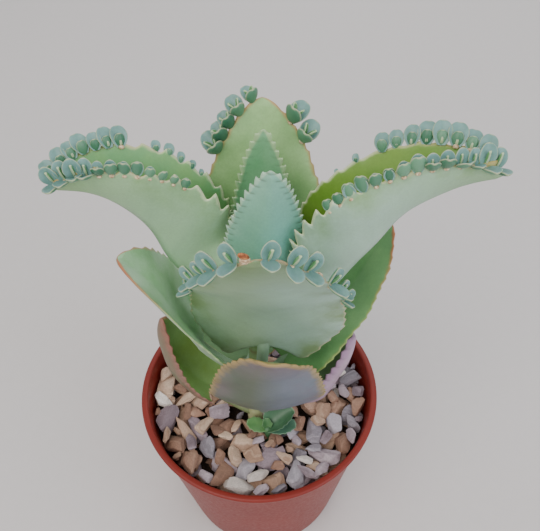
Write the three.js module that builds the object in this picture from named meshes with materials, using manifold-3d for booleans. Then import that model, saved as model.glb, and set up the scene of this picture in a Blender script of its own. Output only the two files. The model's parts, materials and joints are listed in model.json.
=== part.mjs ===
// Mother of thousands: a tall leafy succulent with plantlets along its leaf margins,
// growing in a round plastic pot topped with a bed of chipped stone.
// Lengths are millimetres, angles are degrees and +Z is up.
// The origin is the middle of the pot's underside, and the front of the plant faces -Y.
// A heading turns from +X (0) through +Y (90), and a rise is an angle above the horizontal.

import * as THREE from "three";
import { ConvexGeometry } from "three/addons/geometries/ConvexGeometry.js";
import { mergeVertices } from "three/addons/utils/BufferGeometryUtils.js";
import Module from "manifold-3d";

const wasm = await Module();
wasm.setup();

// ---- Driving dimensions -------------------------------------------------------------

const CLEARANCE = 0.3; // left between two pieces that touch

const POT = {
  height: 100,
  rimRadius: 60,
  lipWidth: 3.4,
  lipDepth: 3.2,
  lipOverhang: 1.6, // how far the lip stands out beyond the wall
  baseRadius: 44.6,
  wall: 1.8,
  floor: 2.6,
  edgeRound: 1.2, // size of the small slopes that break the pot's edges
  sides: 40,
  drainHoles: 6,
  drainRadius: 2.6,
  drainRing: 27,
  drainSides: 8,
};

const SOIL_TOP = 82;

const GRAVEL = {
  bedTop: 87.2,
  stones: 118,
  longest: 15,
  shortest: 10,
  stoneTop: 91.5,
  edgeRise: 2.5, // how much higher the stones lie against the pot's wall
  edgeWidth: 14,
  unevenness: 2.2, // how far the top of a stone may lie below the highest
  wallGap: 0.6,
};

// The turn between two neighbours of a sunflower spread, in radians.
const SUNFLOWER_TURN = 2.39996;

const STEM = {
  foot: 58,
  ground: 88,
  top: 152,
  budTop: 159,
  radiusAtFoot: 5.2,
  radiusAtTop: 3.7,
  x: -1.5,
  y: -10,
  leanX: 0.03,
  leanY: 0.17,
  sides: 12,
};

const BLADE = {
  midribHalf: 1.25, // half of the thickness at the midrib
  marginHalf: 0.45, // half of the thickness along the margin
  toothPitch: 6,
  toothDepth: 1.6,
  toothLean: 0.68, // place of a tooth's point between its two notches, towards the tip
  petioleHalfWidth: 2.9,
  petioleHalfHeight: 2.3,
  ribReach: 0.45, // share of the blade along which the stalk still stands out as a rib
};

const PLANTLET = {
  leaflet: 9, // length of a leaflet of full size, with the part that is sunk in the margin
  leafletWidth: 6.2,
  leafletThickness: 1.8,
  rootSunk: 2,
  upwardPull: 1, // how much a plantlet turns from the leaf's edge towards the light
  frontLean: [10, 20], // the leaflet on the plant's front side stands steep and is smaller
  backLean: [36, 50],
  frontSize: 0.82,
};

// Opposite pairs climb the stem, and each pair crosses the one below it at a right angle.
// cup gives how far the blade's left and right halves fold up, at the midrib and at the
// margin. A plantlet row is [side, first place, last place, count, first size, last size]:
// side is 1 for the left margin seen from the stem, and a place runs from 0 at the blade's
// base to 1 at its tip.
const LEAVES = [
  {
    name: "leaf_back_upper",
    onStem: 128, petiole: 22, length: 103, halfWidth: 33.5,
    heading: [78, 78, 91], rise: [60, 70, 73, 65],
    cup: [[8, 13], [8, 13]], lobe: 0.15, baseWidth: 0.6,
    plantlets: [[1, 0.8, 0.985, 5, 1.25, 1.05], [-1, 0.84, 0.91, 2, 1.2, 1.15]],
  },
  {
    name: "leaf_front_upper",
    onStem: 126, petiole: 34, length: 98, halfWidth: 32,
    heading: [286, 251, 255], rise: [47, 95, 62, 64], lean: 5,
    cup: [[-8.5, 8], [-4, 17]], flatBase: 0.42, flatTip: 0.98, columns: 3,
    lobe: 0.48, baseWidth: 0.62, roll: 12, tipFullness: 2.3,
    plantlets: [[1, 0.43, 0.67, 3, 0.95, 1.05], [1, 0.85, 0.985, 3, 1.1, 1.05],
      [-1, 0.42, 0.66, 2, 0.95, 1], [-1, 0.8, 0.962, 3, 1, 1.05]],
  },
  {
    name: "leaf_left_arching",
    onStem: 143, petiole: 34, length: 90, halfWidth: 35,
    heading: [174, 174, 197], rise: [58, 55, 75, 10],
    cup: [[68, 112], [68, 72]], flatBase: 0.5, flatTip: 0.3, columns: 3,
    lobe: 0, baseWidth: 0.3, shoulder: 0.5, roll: 4, twist: -9, tipFullness: 2.1, tipRoundness: 0.7,
    plantlets: [[1, 0.62, 0.98, 12, 0.55, 1.05], [-1, 0.56, 0.7, 5, 0.4, 0.7],
      [-1, 0.79, 0.98, 7, 1.15, 1]],
  },
  {
    name: "leaf_right_arching",
    onStem: 140, petiole: 34, length: 105, halfWidth: 35,
    heading: [-4, -4, -2], rise: [52, 53, 67, 10],
    cup: [[63, 73], [47, 103]], flatBase: 0.7, flatTip: 0.2, columns: 3,
    lobe: 0, baseWidth: 0.3, shoulder: 0.5, roll: 1, twist: -11, tipFullness: 2.1, tipRoundness: 0.7,
    plantlets: [[1, 0.57, 0.63, 2, 0.35, 0.5], [1, 0.7, 0.95, 8, 1.05, 1.2],
      [-1, 0.56, 0.97, 14, 0.75, 0.95]],
  },
  {
    name: "leaf_back_lower",
    onStem: 103, petiole: 20, length: 66, halfWidth: 27,
    heading: [100, 104, 106], rise: [15, 38, 50, 42],
    cup: [[8, 30], [8, 30]], lobe: 0.1, baseWidth: 0.5, shoulder: 0.3, roll: 4,
  },
  {
    name: "leaf_front_lower",
    onStem: 105, petiole: 18, length: 78, halfWidth: 26.5,
    heading: [288, 282, 278], rise: [8, 64, 81, 60],
    cup: [[-2, 22], [-2, 22]], lobe: 0.1, roll: -13, tipFullness: 2.2, tipRoundness: 0.6,
  },
  {
    name: "leaf_left_middle",
    onStem: 118, petiole: 37, length: 62, halfWidth: 32,
    heading: [186, 180, 160], rise: [38, 62, 69, 43],
    cup: [[23, 38], [1, 0]], lobe: 0.1, baseWidth: 0.5, roll: 12,
  },
  {
    name: "leaf_right_middle",
    onStem: 114, petiole: 18, length: 84, halfWidth: 25,
    heading: [16, 20, 43], rise: [38, 45, 45, 55],
    cup: [[15, 25], [15, 25]],
  },
  {
    name: "leaf_left_lowest",
    onStem: 92, petiole: 26.5, length: 57.5, halfWidth: 25,
    heading: [164, 158, 165], rise: [12.5, 32, 65, 109],
    cup: [[15, 90], [20, 40]], roll: -7, columns: 3,
  },
  {
    name: "leaf_right_lowest",
    onStem: 92, petiole: 23, length: 52.5, halfWidth: 23,
    heading: [2, 13, 22], rise: [11.5, 27, 64, 83],
    cup: [[8, 40], [1, 107]], lobe: 0.1, baseWidth: 0.45, shoulder: 0.35, roll: 1.5, columns: 3,
  },
  {
    name: "leaf_back_young",
    onStem: 148, petiole: 14, length: 86, halfWidth: 18,
    heading: [80, 80, 86], rise: [70, 72, 80, 90], lean: -1.2,
    cup: [[13, 38], [13, 38]], flatBase: 0.3, flatTip: 0.4,
    lobe: 0, baseWidth: 0.18, shoulder: 0.55, roll: 4, tipFullness: 1.8, tipRoundness: 0.7,
    toothPitch: 5,
  },
  {
    name: "leaf_front_young",
    onStem: 148, petiole: 14, length: 83, halfWidth: 22.7,
    heading: [272, 270, 264], rise: [70, 77, 96, 94], lean: 4.2,
    cup: [[10, 24], [10, 24]], flatBase: 0.3, flatTip: 0.4,
    lobe: 0, baseWidth: 0.18, shoulder: 0.72, roll: 4, tipFullness: 1.8, tipRoundness: 0.7,
    toothPitch: 5,
  },
];

const LEAF_DEFAULTS = {
  flatBase: 1, flatTip: 0, lobe: 0.25, baseWidth: 0.72, roll: 0, twist: 0, lean: 0,
  tipFullness: 2, tipRoundness: 0.62, shoulder: 0.22, columns: 2, plantlets: [],
  toothPitch: BLADE.toothPitch,
};

// A young plant has rooted in the gravel beside the stem.
const OFFSET = { x: 4, y: -21, radius: 1.6, foot: 78, top: 95 };
const OFFSET_LEAVES = [
  { heading: 163, rise: 10, length: 11, halfWidth: 3.8 },
  { heading: 25, rise: 25, length: 16.5, halfWidth: 5.4 },
  { heading: 6, rise: 6, length: 14.5, halfWidth: 4.4 },
  { heading: 100, rise: 50, length: 6, halfWidth: 2.4 },
];

// ---- Small helpers ------------------------------------------------------------------

const radians = THREE.MathUtils.degToRad;
const UP = new THREE.Vector3(0, 0, 1);

function seededDraw(seed) {
  let state = seed;
  return () => {
    state = (state * 1664525 + 1013904223) % 4294967296;
    return state / 4294967296;
  };
}

function ramp(x, places, values) {
  const last = places.length - 1;
  if (x <= places[0]) return values[0];
  if (x >= places[last]) return values[last];
  const i = places.findIndex((place) => place > x);
  const t = (x - places[i - 1]) / (places[i] - places[i - 1]);
  return values[i - 1] + (values[i] - values[i - 1]) * t;
}

function ease(x) {
  const t = THREE.MathUtils.clamp(x, 0, 1);
  return t * t * (3 - 2 * t);
}

// A three geometry becomes a solid once its shared corners are merged and the
// triangles that have collapsed onto the axis of a turned shape are dropped.
function solidFrom(geometry) {
  const bare = geometry.clone();
  bare.deleteAttribute("normal");
  bare.deleteAttribute("uv");
  const merged = mergeVertices(bare, 1e-4);
  const corners = Array.from(merged.index.array);
  const kept = [];
  for (let i = 0; i < corners.length; i += 3) {
    const [a, b, c] = corners.slice(i, i + 3);
    if (a !== b && b !== c && c !== a) kept.push(a, b, c);
  }
  return solidFromArrays(merged.attributes.position.array, kept);
}

function solidFromArrays(positions, triangles) {
  return new wasm.Manifold(new wasm.Mesh({
    numProp: 3,
    vertProperties: new Float32Array(positions),
    triVerts: new Uint32Array(triangles),
  }));
}

function meshFrom(name, solid, material) {
  const { vertProperties, triVerts } = solid.getMesh();
  const geometry = new THREE.BufferGeometry();
  geometry.setAttribute("position", new THREE.BufferAttribute(vertProperties, 3));
  geometry.setIndex(new THREE.BufferAttribute(triVerts, 1));
  geometry.computeVertexNormals();
  const mesh = new THREE.Mesh(geometry, material);
  mesh.name = name;
  return mesh;
}

// Closed skin over a row of rings, each with the same number of corners.
function loft(rings) {
  const sides = rings[0].length;
  const points = rings.flat();
  const triangles = [];
  for (let i = 0; i + 1 < rings.length; i += 1) {
    for (let j = 0; j < sides; j += 1) {
      const a = i * sides + j;
      const b = i * sides + ((j + 1) % sides);
      triangles.push(a, b, b + sides, a, b + sides, a + sides);
    }
  }
  const lastRing = (rings.length - 1) * sides;
  for (let j = 1; j + 1 < sides; j += 1) {
    triangles.push(0, j + 1, j);
    triangles.push(lastRing, lastRing + j, lastRing + j + 1);
  }
  return solidFromArrays(points.flatMap((point) => point.toArray()), triangles);
}

function turned(profile, sides) {
  const points = profile.map(([radius, height]) => new THREE.Vector2(radius, height));
  return solidFrom(new THREE.LatheGeometry(points, sides).rotateX(Math.PI / 2));
}

// ---- Pot, soil and gravel -----------------------------------------------------------

function potOuterRadius(z) {
  const slope = (POT.rimRadius - POT.lipOverhang - POT.baseRadius) / POT.height;
  return POT.baseRadius + slope * z;
}

function potInnerRadius(z) {
  return potOuterRadius(z) - POT.wall;
}

function makePot() {
  const lipBottom = POT.height - POT.lipDepth;
  const lipInside = POT.rimRadius - POT.lipWidth;
  const round = POT.edgeRound;
  const body = turned([
    [0, 0],
    [POT.baseRadius - round, 0],
    [POT.baseRadius, round],
    [potOuterRadius(lipBottom), lipBottom],
    [POT.rimRadius - round * 0.7, lipBottom + round * 0.7],
    [POT.rimRadius, POT.height - round],
    [POT.rimRadius - round, POT.height],
    [lipInside + round * 0.8, POT.height],
    [lipInside, POT.height - round * 0.8],
    [potInnerRadius(lipBottom), lipBottom],
    [potInnerRadius(POT.floor), POT.floor],
    [0, POT.floor],
  ], POT.sides);
  const drain = new THREE.CylinderGeometry(
    POT.drainRadius,
    POT.drainRadius,
    POT.floor * 3,
    POT.drainSides,
  );
  drain.rotateX(Math.PI / 2);
  let pot = body;
  for (let i = 0; i < POT.drainHoles; i += 1) {
    const angle = (i / POT.drainHoles) * 2 * Math.PI;
    const place = [Math.cos(angle) * POT.drainRing, Math.sin(angle) * POT.drainRing, 0];
    pot = pot.subtract(solidFrom(drain.clone().translate(...place)));
  }
  return pot;
}

function makeSoil() {
  const bottom = POT.floor + CLEARANCE;
  return turned([
    [0, bottom],
    [potInnerRadius(bottom) - CLEARANCE, bottom],
    [potInnerRadius(SOIL_TOP) - CLEARANCE, SOIL_TOP],
    [0, SOIL_TOP],
  ], POT.sides);
}

// One chip of stone: the convex skin over points drawn on an uneven ellipsoid.
function makeStone(draw, length) {
  const half = [length / 2, length * (0.33 + 0.1 * draw()), length * (0.24 + 0.06 * draw())];
  const corners = 8;
  const points = [];
  for (let i = 0; i < corners; i += 1) {
    const height = 1 - (2 * (i + 0.5)) / corners;
    const round = Math.sqrt(1 - height * height);
    const angle = i * SUNFLOWER_TURN + draw() * 0.7;
    const reach = 0.88 + 0.24 * draw();
    points.push(new THREE.Vector3(
      height * half[0] * reach,
      Math.cos(angle) * round * half[1] * reach,
      Math.sin(angle) * round * half[2] * reach,
    ));
  }
  return new ConvexGeometry(points);
}

// The stones lie in a sunflower spread, so that they cover the bed evenly.
function makeGravel() {
  const draw = seededDraw(7);
  const bottom = SOIL_TOP + CLEARANCE;
  const edgeTop = GRAVEL.bedTop + GRAVEL.edgeRise;
  const bed = turned([
    [0, bottom],
    [potInnerRadius(bottom) - CLEARANCE, bottom],
    [potInnerRadius(edgeTop) - CLEARANCE, edgeTop],
    [potInnerRadius(GRAVEL.bedTop) - GRAVEL.edgeWidth, GRAVEL.bedTop],
    [0, GRAVEL.bedTop],
  ], POT.sides);
  const reach = potInnerRadius(GRAVEL.bedTop) * Math.cos(Math.PI / POT.sides) - GRAVEL.wallGap;
  const pieces = [bed];
  for (let i = 0; i < GRAVEL.stones; i += 1) {
    const length = GRAVEL.shortest + (GRAVEL.longest - GRAVEL.shortest) * draw() ** 1.6;
    const stone = makeStone(draw, length);
    stone.rotateX((draw() - 0.5) * 0.9);
    stone.rotateY((draw() - 0.5) * 0.5);
    stone.rotateZ(draw() * Math.PI);
    const angle = i * SUNFLOWER_TURN + draw() * 0.3;
    const radius = Math.sqrt((i + 0.5) / GRAVEL.stones) * reach;
    stone.translate(Math.cos(angle) * radius, Math.sin(angle) * radius, 0);
    stone.computeBoundingBox();
    const rise = GRAVEL.edgeRise * ease((radius - reach + GRAVEL.edgeWidth) / GRAVEL.edgeWidth);
    const top = GRAVEL.stoneTop + rise - GRAVEL.unevenness * draw();
    const lift = top - stone.boundingBox.max.z;
    stone.translate(0, 0, lift);
    pullInside(stone, reach);
    pieces.push(solidFrom(stone));
  }
  return outerSkin(wasm.Manifold.union(pieces));
}

// Fills the hollows that are sealed between stones by keeping the largest skin alone.
function outerSkin(solid) {
  return solid.decompose().reduce((kept, other) => (other.volume() > kept.volume() ? other : kept));
}

// Moves a stone towards the middle until none of it crosses the pot's wall.
function pullInside(stone, reach) {
  const corners = stone.attributes.position;
  let furthest = 0;
  let outward = new THREE.Vector2();
  for (let i = 0; i < corners.count; i += 1) {
    const corner = new THREE.Vector2(corners.getX(i), corners.getY(i));
    if (corner.length() > furthest) {
      furthest = corner.length();
      outward = corner.normalize();
    }
  }
  const excess = Math.max(furthest - reach, 0);
  stone.translate(-outward.x * excess, -outward.y * excess, 0);
}

// ---- Stem ---------------------------------------------------------------------------

function stemAxis(z) {
  return new THREE.Vector3(
    STEM.x + STEM.leanX * (z - STEM.ground),
    STEM.y + STEM.leanY * (z - STEM.ground),
    z,
  );
}

function levelRing(centre, radius, sides) {
  return Array.from({ length: sides }, (_, i) => {
    const angle = (i / sides) * 2 * Math.PI;
    return new THREE.Vector3(Math.cos(angle) * radius, Math.sin(angle) * radius, 0).add(centre);
  });
}

// The stem ends in a small closed bud between the youngest pair of leaves.
function makeStem(grown = 0) {
  const heights = [STEM.foot - grown, STEM.ground, 104, 118, 132, STEM.top];
  const ends = [STEM.foot, STEM.top];
  const rings = heights.map((z) => {
    const radius = ramp(z, ends, [STEM.radiusAtFoot, STEM.radiusAtTop]);
    return levelRing(stemAxis(z), radius + grown, STEM.sides);
  });
  rings.push(levelRing(stemAxis(STEM.budTop), 0.7 + grown, STEM.sides));
  return loft(rings);
}

// ---- Leaves -------------------------------------------------------------------------

// The line of a leaf from the stem's axis out to its tip. At a distance x along it, the
// frame holds the point, the direction of growth, the left-hand side and the upper face.
function leafLine(leaf) {
  const total = leaf.petiole + leaf.length;
  const steps = 160;
  const window = 16;
  const bends = [0, leaf.petiole, leaf.petiole + leaf.length / 2, total];
  const turns = [0, leaf.petiole, total];
  const spread = (places, values) => (i) => {
    let sum = 0;
    for (let k = i - window; k <= i + window; k += 1) {
      const step = THREE.MathUtils.clamp(k, 0, steps - 1);
      sum += ramp(((step + 0.5) / steps) * total, places, values);
    }
    return radians(sum / (2 * window + 1));
  };
  const riseAt = spread(bends, leaf.rise);
  const headingAt = spread(turns, leaf.heading);
  const lean = Math.tan(radians(leaf.lean));
  const frames = [];
  const point = stemAxis(leaf.onStem);
  for (let i = 0; i <= steps; i += 1) {
    const rise = riseAt(i);
    const heading = headingAt(i);
    const along = new THREE.Vector3(
      Math.cos(rise) * Math.cos(heading),
      Math.cos(rise) * Math.sin(heading),
      Math.sin(rise),
    );
    const side = new THREE.Vector3(-Math.sin(heading), Math.cos(heading), 0);
    frames.push({ point: point.clone(), along, side });
    point.addScaledVector(along, total / steps).addScaledVector(side, (lean * total) / steps);
  }
  return (x) => {
    const place = THREE.MathUtils.clamp((x / total) * steps, 0, steps - 1e-6);
    const from = frames[Math.floor(place)];
    const to = frames[Math.floor(place) + 1];
    const t = place - Math.floor(place);
    const along = from.along.clone().lerp(to.along, t).normalize();
    const level = from.side.clone().lerp(to.side, t).normalize();
    const outBlade = THREE.MathUtils.clamp((x - leaf.petiole) / leaf.length, 0, 1);
    const side = level.applyAxisAngle(along, radians(leaf.roll + leaf.twist * outBlade));
    return {
      point: from.point.clone().lerp(to.point, t),
      along,
      side,
      face: along.clone().cross(side),
    };
  };
}

function bladeHalfWidth(leaf, s) {
  const shoulder = leaf.baseWidth + (1 - leaf.baseWidth) * ease(s / leaf.shoulder);
  const tip = Math.max(1 - s ** leaf.tipFullness, 0) ** leaf.tipRoundness;
  return leaf.halfWidth * shoulder * tip;
}

// How much of the leaf's cupping is left at a place s: less at a flat base or tip.
function cupShare(leaf, s) {
  if (leaf.flatBase < 1 && s < 0.35) {
    return leaf.flatBase + (1 - leaf.flatBase) * ease(s / 0.35);
  }
  if (leaf.flatBase < 1) return 1 - leaf.flatTip * ease((s - 0.35) / 0.65);
  return 1 - leaf.flatTip * s;
}

// Point on the middle of the blade, at a place s and a distance across from the midrib.
function bladePoint(leaf, line, s, hand, across) {
  const frame = line(leaf.petiole + s * leaf.length);
  const half = Math.max(bladeHalfWidth(leaf, s), leaf.halfWidth * 0.12);
  const share = cupShare(leaf, s);
  const [inner, outer] = leaf.cup[hand > 0 ? 0 : 1].map((angle) => radians(angle) * share);
  const curl = Math.abs(outer - inner) < 1e-4 ? 1e-4 / half : (outer - inner) / half;
  const sideways = (Math.sin(inner + curl * across) - Math.sin(inner)) / curl;
  const upward = (Math.cos(inner) - Math.cos(inner + curl * across)) / curl;
  const sweep = leaf.lobe * leaf.halfWidth * (across / half) ** 2
    * THREE.MathUtils.clamp(1 - s / 0.3, 0, 1) ** 2;
  return frame.point.clone()
    .addScaledVector(frame.along, -sweep)
    .addScaledVector(frame.side, hand * sideways)
    .addScaledVector(frame.face, upward);
}

// Upper-face normal and outward direction of the blade at the same place.
function bladeFrame(leaf, line, s, hand, across) {
  const step = 0.01;
  const before = bladePoint(leaf, line, Math.max(s - step, 0), hand, across);
  const after = bladePoint(leaf, line, Math.min(s + step, 1), hand, across);
  const inside = bladePoint(leaf, line, s, hand, Math.max(across - 0.3, 0));
  const outside = bladePoint(leaf, line, s, hand, across + 0.3);
  const along = after.sub(before).normalize();
  const outward = outside.sub(inside).normalize();
  const face = along.clone().cross(outward).multiplyScalar(hand).normalize();
  return { outward, face };
}

function bladeCorner(leaf, line, s, hand, across, half) {
  const middle = bladePoint(leaf, line, s, hand, across);
  let face;
  let lift = half;
  if (across === 0) {
    face = line(leaf.petiole + s * leaf.length).face;
    const fold = radians((leaf.cup[0][0] + leaf.cup[1][0]) / 2) * cupShare(leaf, s);
    lift = Math.min(half / Math.cos(fold), half * 2.4);
  } else {
    face = bladeFrame(leaf, line, s, hand, across).face;
  }
  return {
    upper: middle.clone().addScaledVector(face, lift),
    lower: middle.clone().addScaledVector(face, -half),
  };
}

// The blade is a thick sheet. Both faces share one pattern of triangles, and between
// two stations each margin carries one tooth that points towards the tip.
function makeBlade(leaf, line) {
  const stations = Math.max(5, Math.round((leaf.length * 1.05) / leaf.toothPitch));
  const { columns } = leaf;
  const corners = [];
  const addCorner = (s, hand, across, half) => {
    corners.push(bladeCorner(leaf, line, s, hand, across, half));
    return corners.length - 1;
  };
  const halfAt = (share) => THREE.MathUtils.lerp(BLADE.midribHalf, BLADE.marginHalf, share ** 1.4);
  const places = Array.from({ length: stations }, (_, i) => 1 - (1 - i / stations) ** 1.2);
  const grid = places.map((s) => {
    const row = [];
    const reach = bladeHalfWidth(leaf, s);
    for (let j = -columns; j <= columns; j += 1) {
      const share = Math.abs(j) / columns;
      row.push(addCorner(s, j < 0 ? -1 : 1, reach * share, halfAt(share)));
    }
    return row;
  });
  const apex = addCorner(1, 1, 0, BLADE.marginHalf);
  const faces = [];
  const wall = [];
  const left = 2 * columns;
  for (let i = 0; i + 1 < stations; i += 1) {
    for (let j = 0; j < left; j += 1) {
      const [a, b, c, d] = [grid[i][j], grid[i + 1][j], grid[i + 1][j + 1], grid[i][j + 1]];
      if (j < columns) faces.push([a, b, d], [b, c, d]);
      else faces.push([a, b, c], [a, c, d]);
    }
    const s = THREE.MathUtils.lerp(places[i], places[i + 1], BLADE.toothLean);
    const reach = bladeHalfWidth(leaf, s) + BLADE.toothDepth;
    const rightTooth = addCorner(s, -1, reach, BLADE.marginHalf * 0.8);
    const leftTooth = addCorner(s, 1, reach, BLADE.marginHalf * 0.8);
    faces.push([grid[i][left], grid[i + 1][left], leftTooth]);
    faces.push([grid[i][0], rightTooth, grid[i + 1][0]]);
    wall.push([grid[i][left], leftTooth], [leftTooth, grid[i + 1][left]]);
    wall.push([grid[i + 1][0], rightTooth], [rightTooth, grid[i][0]]);
  }
  const end = grid[stations - 1];
  for (let j = 0; j < left; j += 1) faces.push([end[j], apex, end[j + 1]]);
  wall.push([end[left], apex], [apex, end[0]]);
  for (let j = 0; j < left; j += 1) wall.push([grid[0][j], grid[0][j + 1]]);
  const points = corners.flatMap(({ upper, lower }) => [upper, lower]);
  const triangles = [];
  for (const [a, b, c] of faces) {
    triangles.push(2 * a, 2 * b, 2 * c, 2 * a + 1, 2 * c + 1, 2 * b + 1);
  }
  for (const [p, q] of wall) {
    triangles.push(2 * p, 2 * q, 2 * q + 1, 2 * p, 2 * q + 1, 2 * p + 1);
  }
  return solidFromArrays(points.flatMap((point) => point.toArray()), triangles);
}

// The leaf stalk starts at the stem's axis and runs out under the blade as its midrib.
function makePetiole(leaf, line) {
  const ribLength = leaf.length * BLADE.ribReach;
  const places = [0, 0.5, 1].map((share) => leaf.petiole * share);
  places.push(leaf.petiole + ribLength * 0.45, leaf.petiole + ribLength);
  const sizes = [1, 0.95, 0.9, 0.6, 0.3];
  const sides = 8;
  const rings = places.map((x, i) => {
    const frame = line(x);
    const sunk = i < 2 ? 0 : BLADE.midribHalf * 0.7;
    return Array.from({ length: sides }, (_, k) => {
      const angle = (k / sides) * 2 * Math.PI;
      return frame.point.clone()
        .addScaledVector(frame.side, Math.cos(angle) * BLADE.petioleHalfWidth * sizes[i])
        .addScaledVector(frame.face, Math.sin(angle) * BLADE.petioleHalfHeight * sizes[i] - sunk);
    });
  });
  return loft(rings);
}

// A leaflet is a thick spoon: five corners around its edge, bulged above and below.
function makeLeaflet(root, direction, width, size) {
  const face = direction.clone().cross(width).normalize();
  const outline = [[0, 0], [0.45, 1], [0.95, 0.6], [0.95, -0.6], [0.45, -1]];
  const half = (PLANTLET.leafletWidth / 2) * size;
  const length = PLANTLET.leaflet * size;
  const thick = (PLANTLET.leafletThickness / 2) * size;
  const points = outline.map(([out, wide]) => root.clone()
    .addScaledVector(direction, out * length)
    .addScaledVector(width, wide * half));
  const middle = root.clone().addScaledVector(direction, 0.6 * length);
  points.push(middle.clone().addScaledVector(face, thick));
  points.push(middle.clone().addScaledVector(face, -thick));
  const triangles = [];
  const count = outline.length;
  for (let i = 0; i < count; i += 1) {
    const next = (i + 1) % count;
    triangles.push(next, i, count, i, next, count + 1);
  }
  return solidFromArrays(points.flatMap((point) => point.toArray()), triangles);
}

// A plantlet stands out of the margin: a pair of leaflets, rooted in the leaf's edge,
// that open towards the leaf's upper and under sides.
function makePlantlet(leaf, line, hand, s, size, draw) {
  const reach = bladeHalfWidth(leaf, s);
  const edgeAt = (place) => bladePoint(leaf, line, place, hand, bladeHalfWidth(leaf, place));
  const edge = edgeAt(s);
  const margin = edgeAt(s + 0.01).sub(edgeAt(s - 0.01)).normalize();
  const { outward, face } = bladeFrame(leaf, line, s, hand, reach);
  outward.addScaledVector(margin, -outward.dot(margin)).normalize();
  const stand = outward.clone().addScaledVector(UP, PLANTLET.upwardPull).normalize();
  const width = stand.clone().cross(face).normalize();
  const cross = stand.clone().cross(width);
  if (cross.dot(face) < 0) cross.negate();
  const root = edge.clone().addScaledVector(outward, -PLANTLET.rootSunk);
  const toFront = cross.y < 0 ? 1 : -1;
  const frontLean = radians(THREE.MathUtils.lerp(...PLANTLET.frontLean, draw()));
  const backLean = radians(THREE.MathUtils.lerp(...PLANTLET.backLean, draw()));
  width.applyAxisAngle(stand, (draw() - 0.5) * 0.5);
  const parts = [];
  for (const [lean, share] of [[-backLean, 1], [frontLean, PLANTLET.frontSize]]) {
    const direction = stand.clone().multiplyScalar(Math.cos(lean))
      .addScaledVector(cross, Math.sin(lean) * toFront);
    const across = width.clone().addScaledVector(direction, -width.dot(direction)).normalize();
    parts.push(makeLeaflet(root, direction, across, size * share * (0.95 + 0.1 * draw())));
  }
  return parts;
}

function makeLeaf(spec, seed, stemCutter) {
  const leaf = { ...LEAF_DEFAULTS, ...spec };
  const line = leafLine(leaf);
  const draw = seededDraw(seed);
  const pieces = [makeBlade(leaf, line), makePetiole(leaf, line)];
  for (const [hand, from, to, count, firstSize, lastSize] of leaf.plantlets) {
    for (let i = 0; i < count; i += 1) {
      const t = count > 1 ? i / (count - 1) : 0;
      const s = THREE.MathUtils.lerp(from, to, t);
      const size = THREE.MathUtils.lerp(firstSize, lastSize, t) * (0.92 + 0.16 * draw());
      pieces.push(...makePlantlet(leaf, line, hand, s, size, draw));
    }
  }
  return wasm.Manifold.union(pieces).subtract(stemCutter);
}

// ---- Rooted offset ------------------------------------------------------------------

function offsetStem(grown = 0) {
  const heights = [OFFSET.foot - grown, OFFSET.top];
  const rings = heights.map((z) => levelRing(
    new THREE.Vector3(OFFSET.x, OFFSET.y, z), OFFSET.radius + grown, 8,
  ));
  return loft(rings);
}

function makeOffset() {
  const pieces = [offsetStem()];
  for (const { heading, rise, length, halfWidth } of OFFSET_LEAVES) {
    const direction = new THREE.Vector3(
      Math.cos(radians(rise)) * Math.cos(radians(heading)),
      Math.cos(radians(rise)) * Math.sin(radians(heading)),
      Math.sin(radians(rise)),
    );
    const width = UP.clone().cross(direction).normalize();
    const root = new THREE.Vector3(OFFSET.x, OFFSET.y, OFFSET.top - 1.5);
    const size = length / PLANTLET.leaflet;
    const widen = (2 * halfWidth) / (PLANTLET.leafletWidth * size);
    pieces.push(makeLeaflet(root, direction, width.multiplyScalar(widen), size));
  }
  return wasm.Manifold.union(pieces);
}

// ---- Materials and assembly ---------------------------------------------------------

function finish(color, roughness) {
  return new THREE.MeshStandardMaterial({ color, roughness, metalness: 0 });
}

const materials = {
  pot: finish("#a5452f", 0.5),
  soil: finish("#3a2a20", 0.95),
  gravel: finish("#a98a73", 0.85),
  stem: finish("#9fb48a", 0.6),
  leaf: finish("#7f9f72", 0.55),
  offset: finish("#4f7a4e", 0.5),
};

const stem = makeStem();
const stemCutter = makeStem(CLEARANCE);
const offsetCutter = offsetStem(CLEARANCE);
const soil = makeSoil().subtract(stemCutter).subtract(offsetCutter);
const gravel = makeGravel().subtract(stemCutter).subtract(offsetCutter);

const group = new THREE.Group();
group.add(meshFrom("pot", makePot(), materials.pot));
group.add(meshFrom("potting_soil", soil, materials.soil));
group.add(meshFrom("gravel_bed", gravel, materials.gravel));
group.add(meshFrom("main_stem", stem, materials.stem));
LEAVES.forEach((spec, i) => {
  group.add(meshFrom(spec.name, makeLeaf(spec, 11 + i, stemCutter), materials.leaf));
});
group.add(meshFrom("rooted_offset", makeOffset(), materials.offset));

export default group;
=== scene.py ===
# Mother of thousands (a tall Kalanchoe) with plantlets along its leaf margins, in a round
# plastic pot under a bed of chipped stone. Shapes are worked out in millimetres, with the
# origin in the middle of the pot's underside, +Z up and the plant's front towards -Y,
# and turned to metres as each mesh is made.

import json
import math
import random

import bmesh
import bpy
import numpy as np
from mathutils import Matrix, Vector

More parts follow.
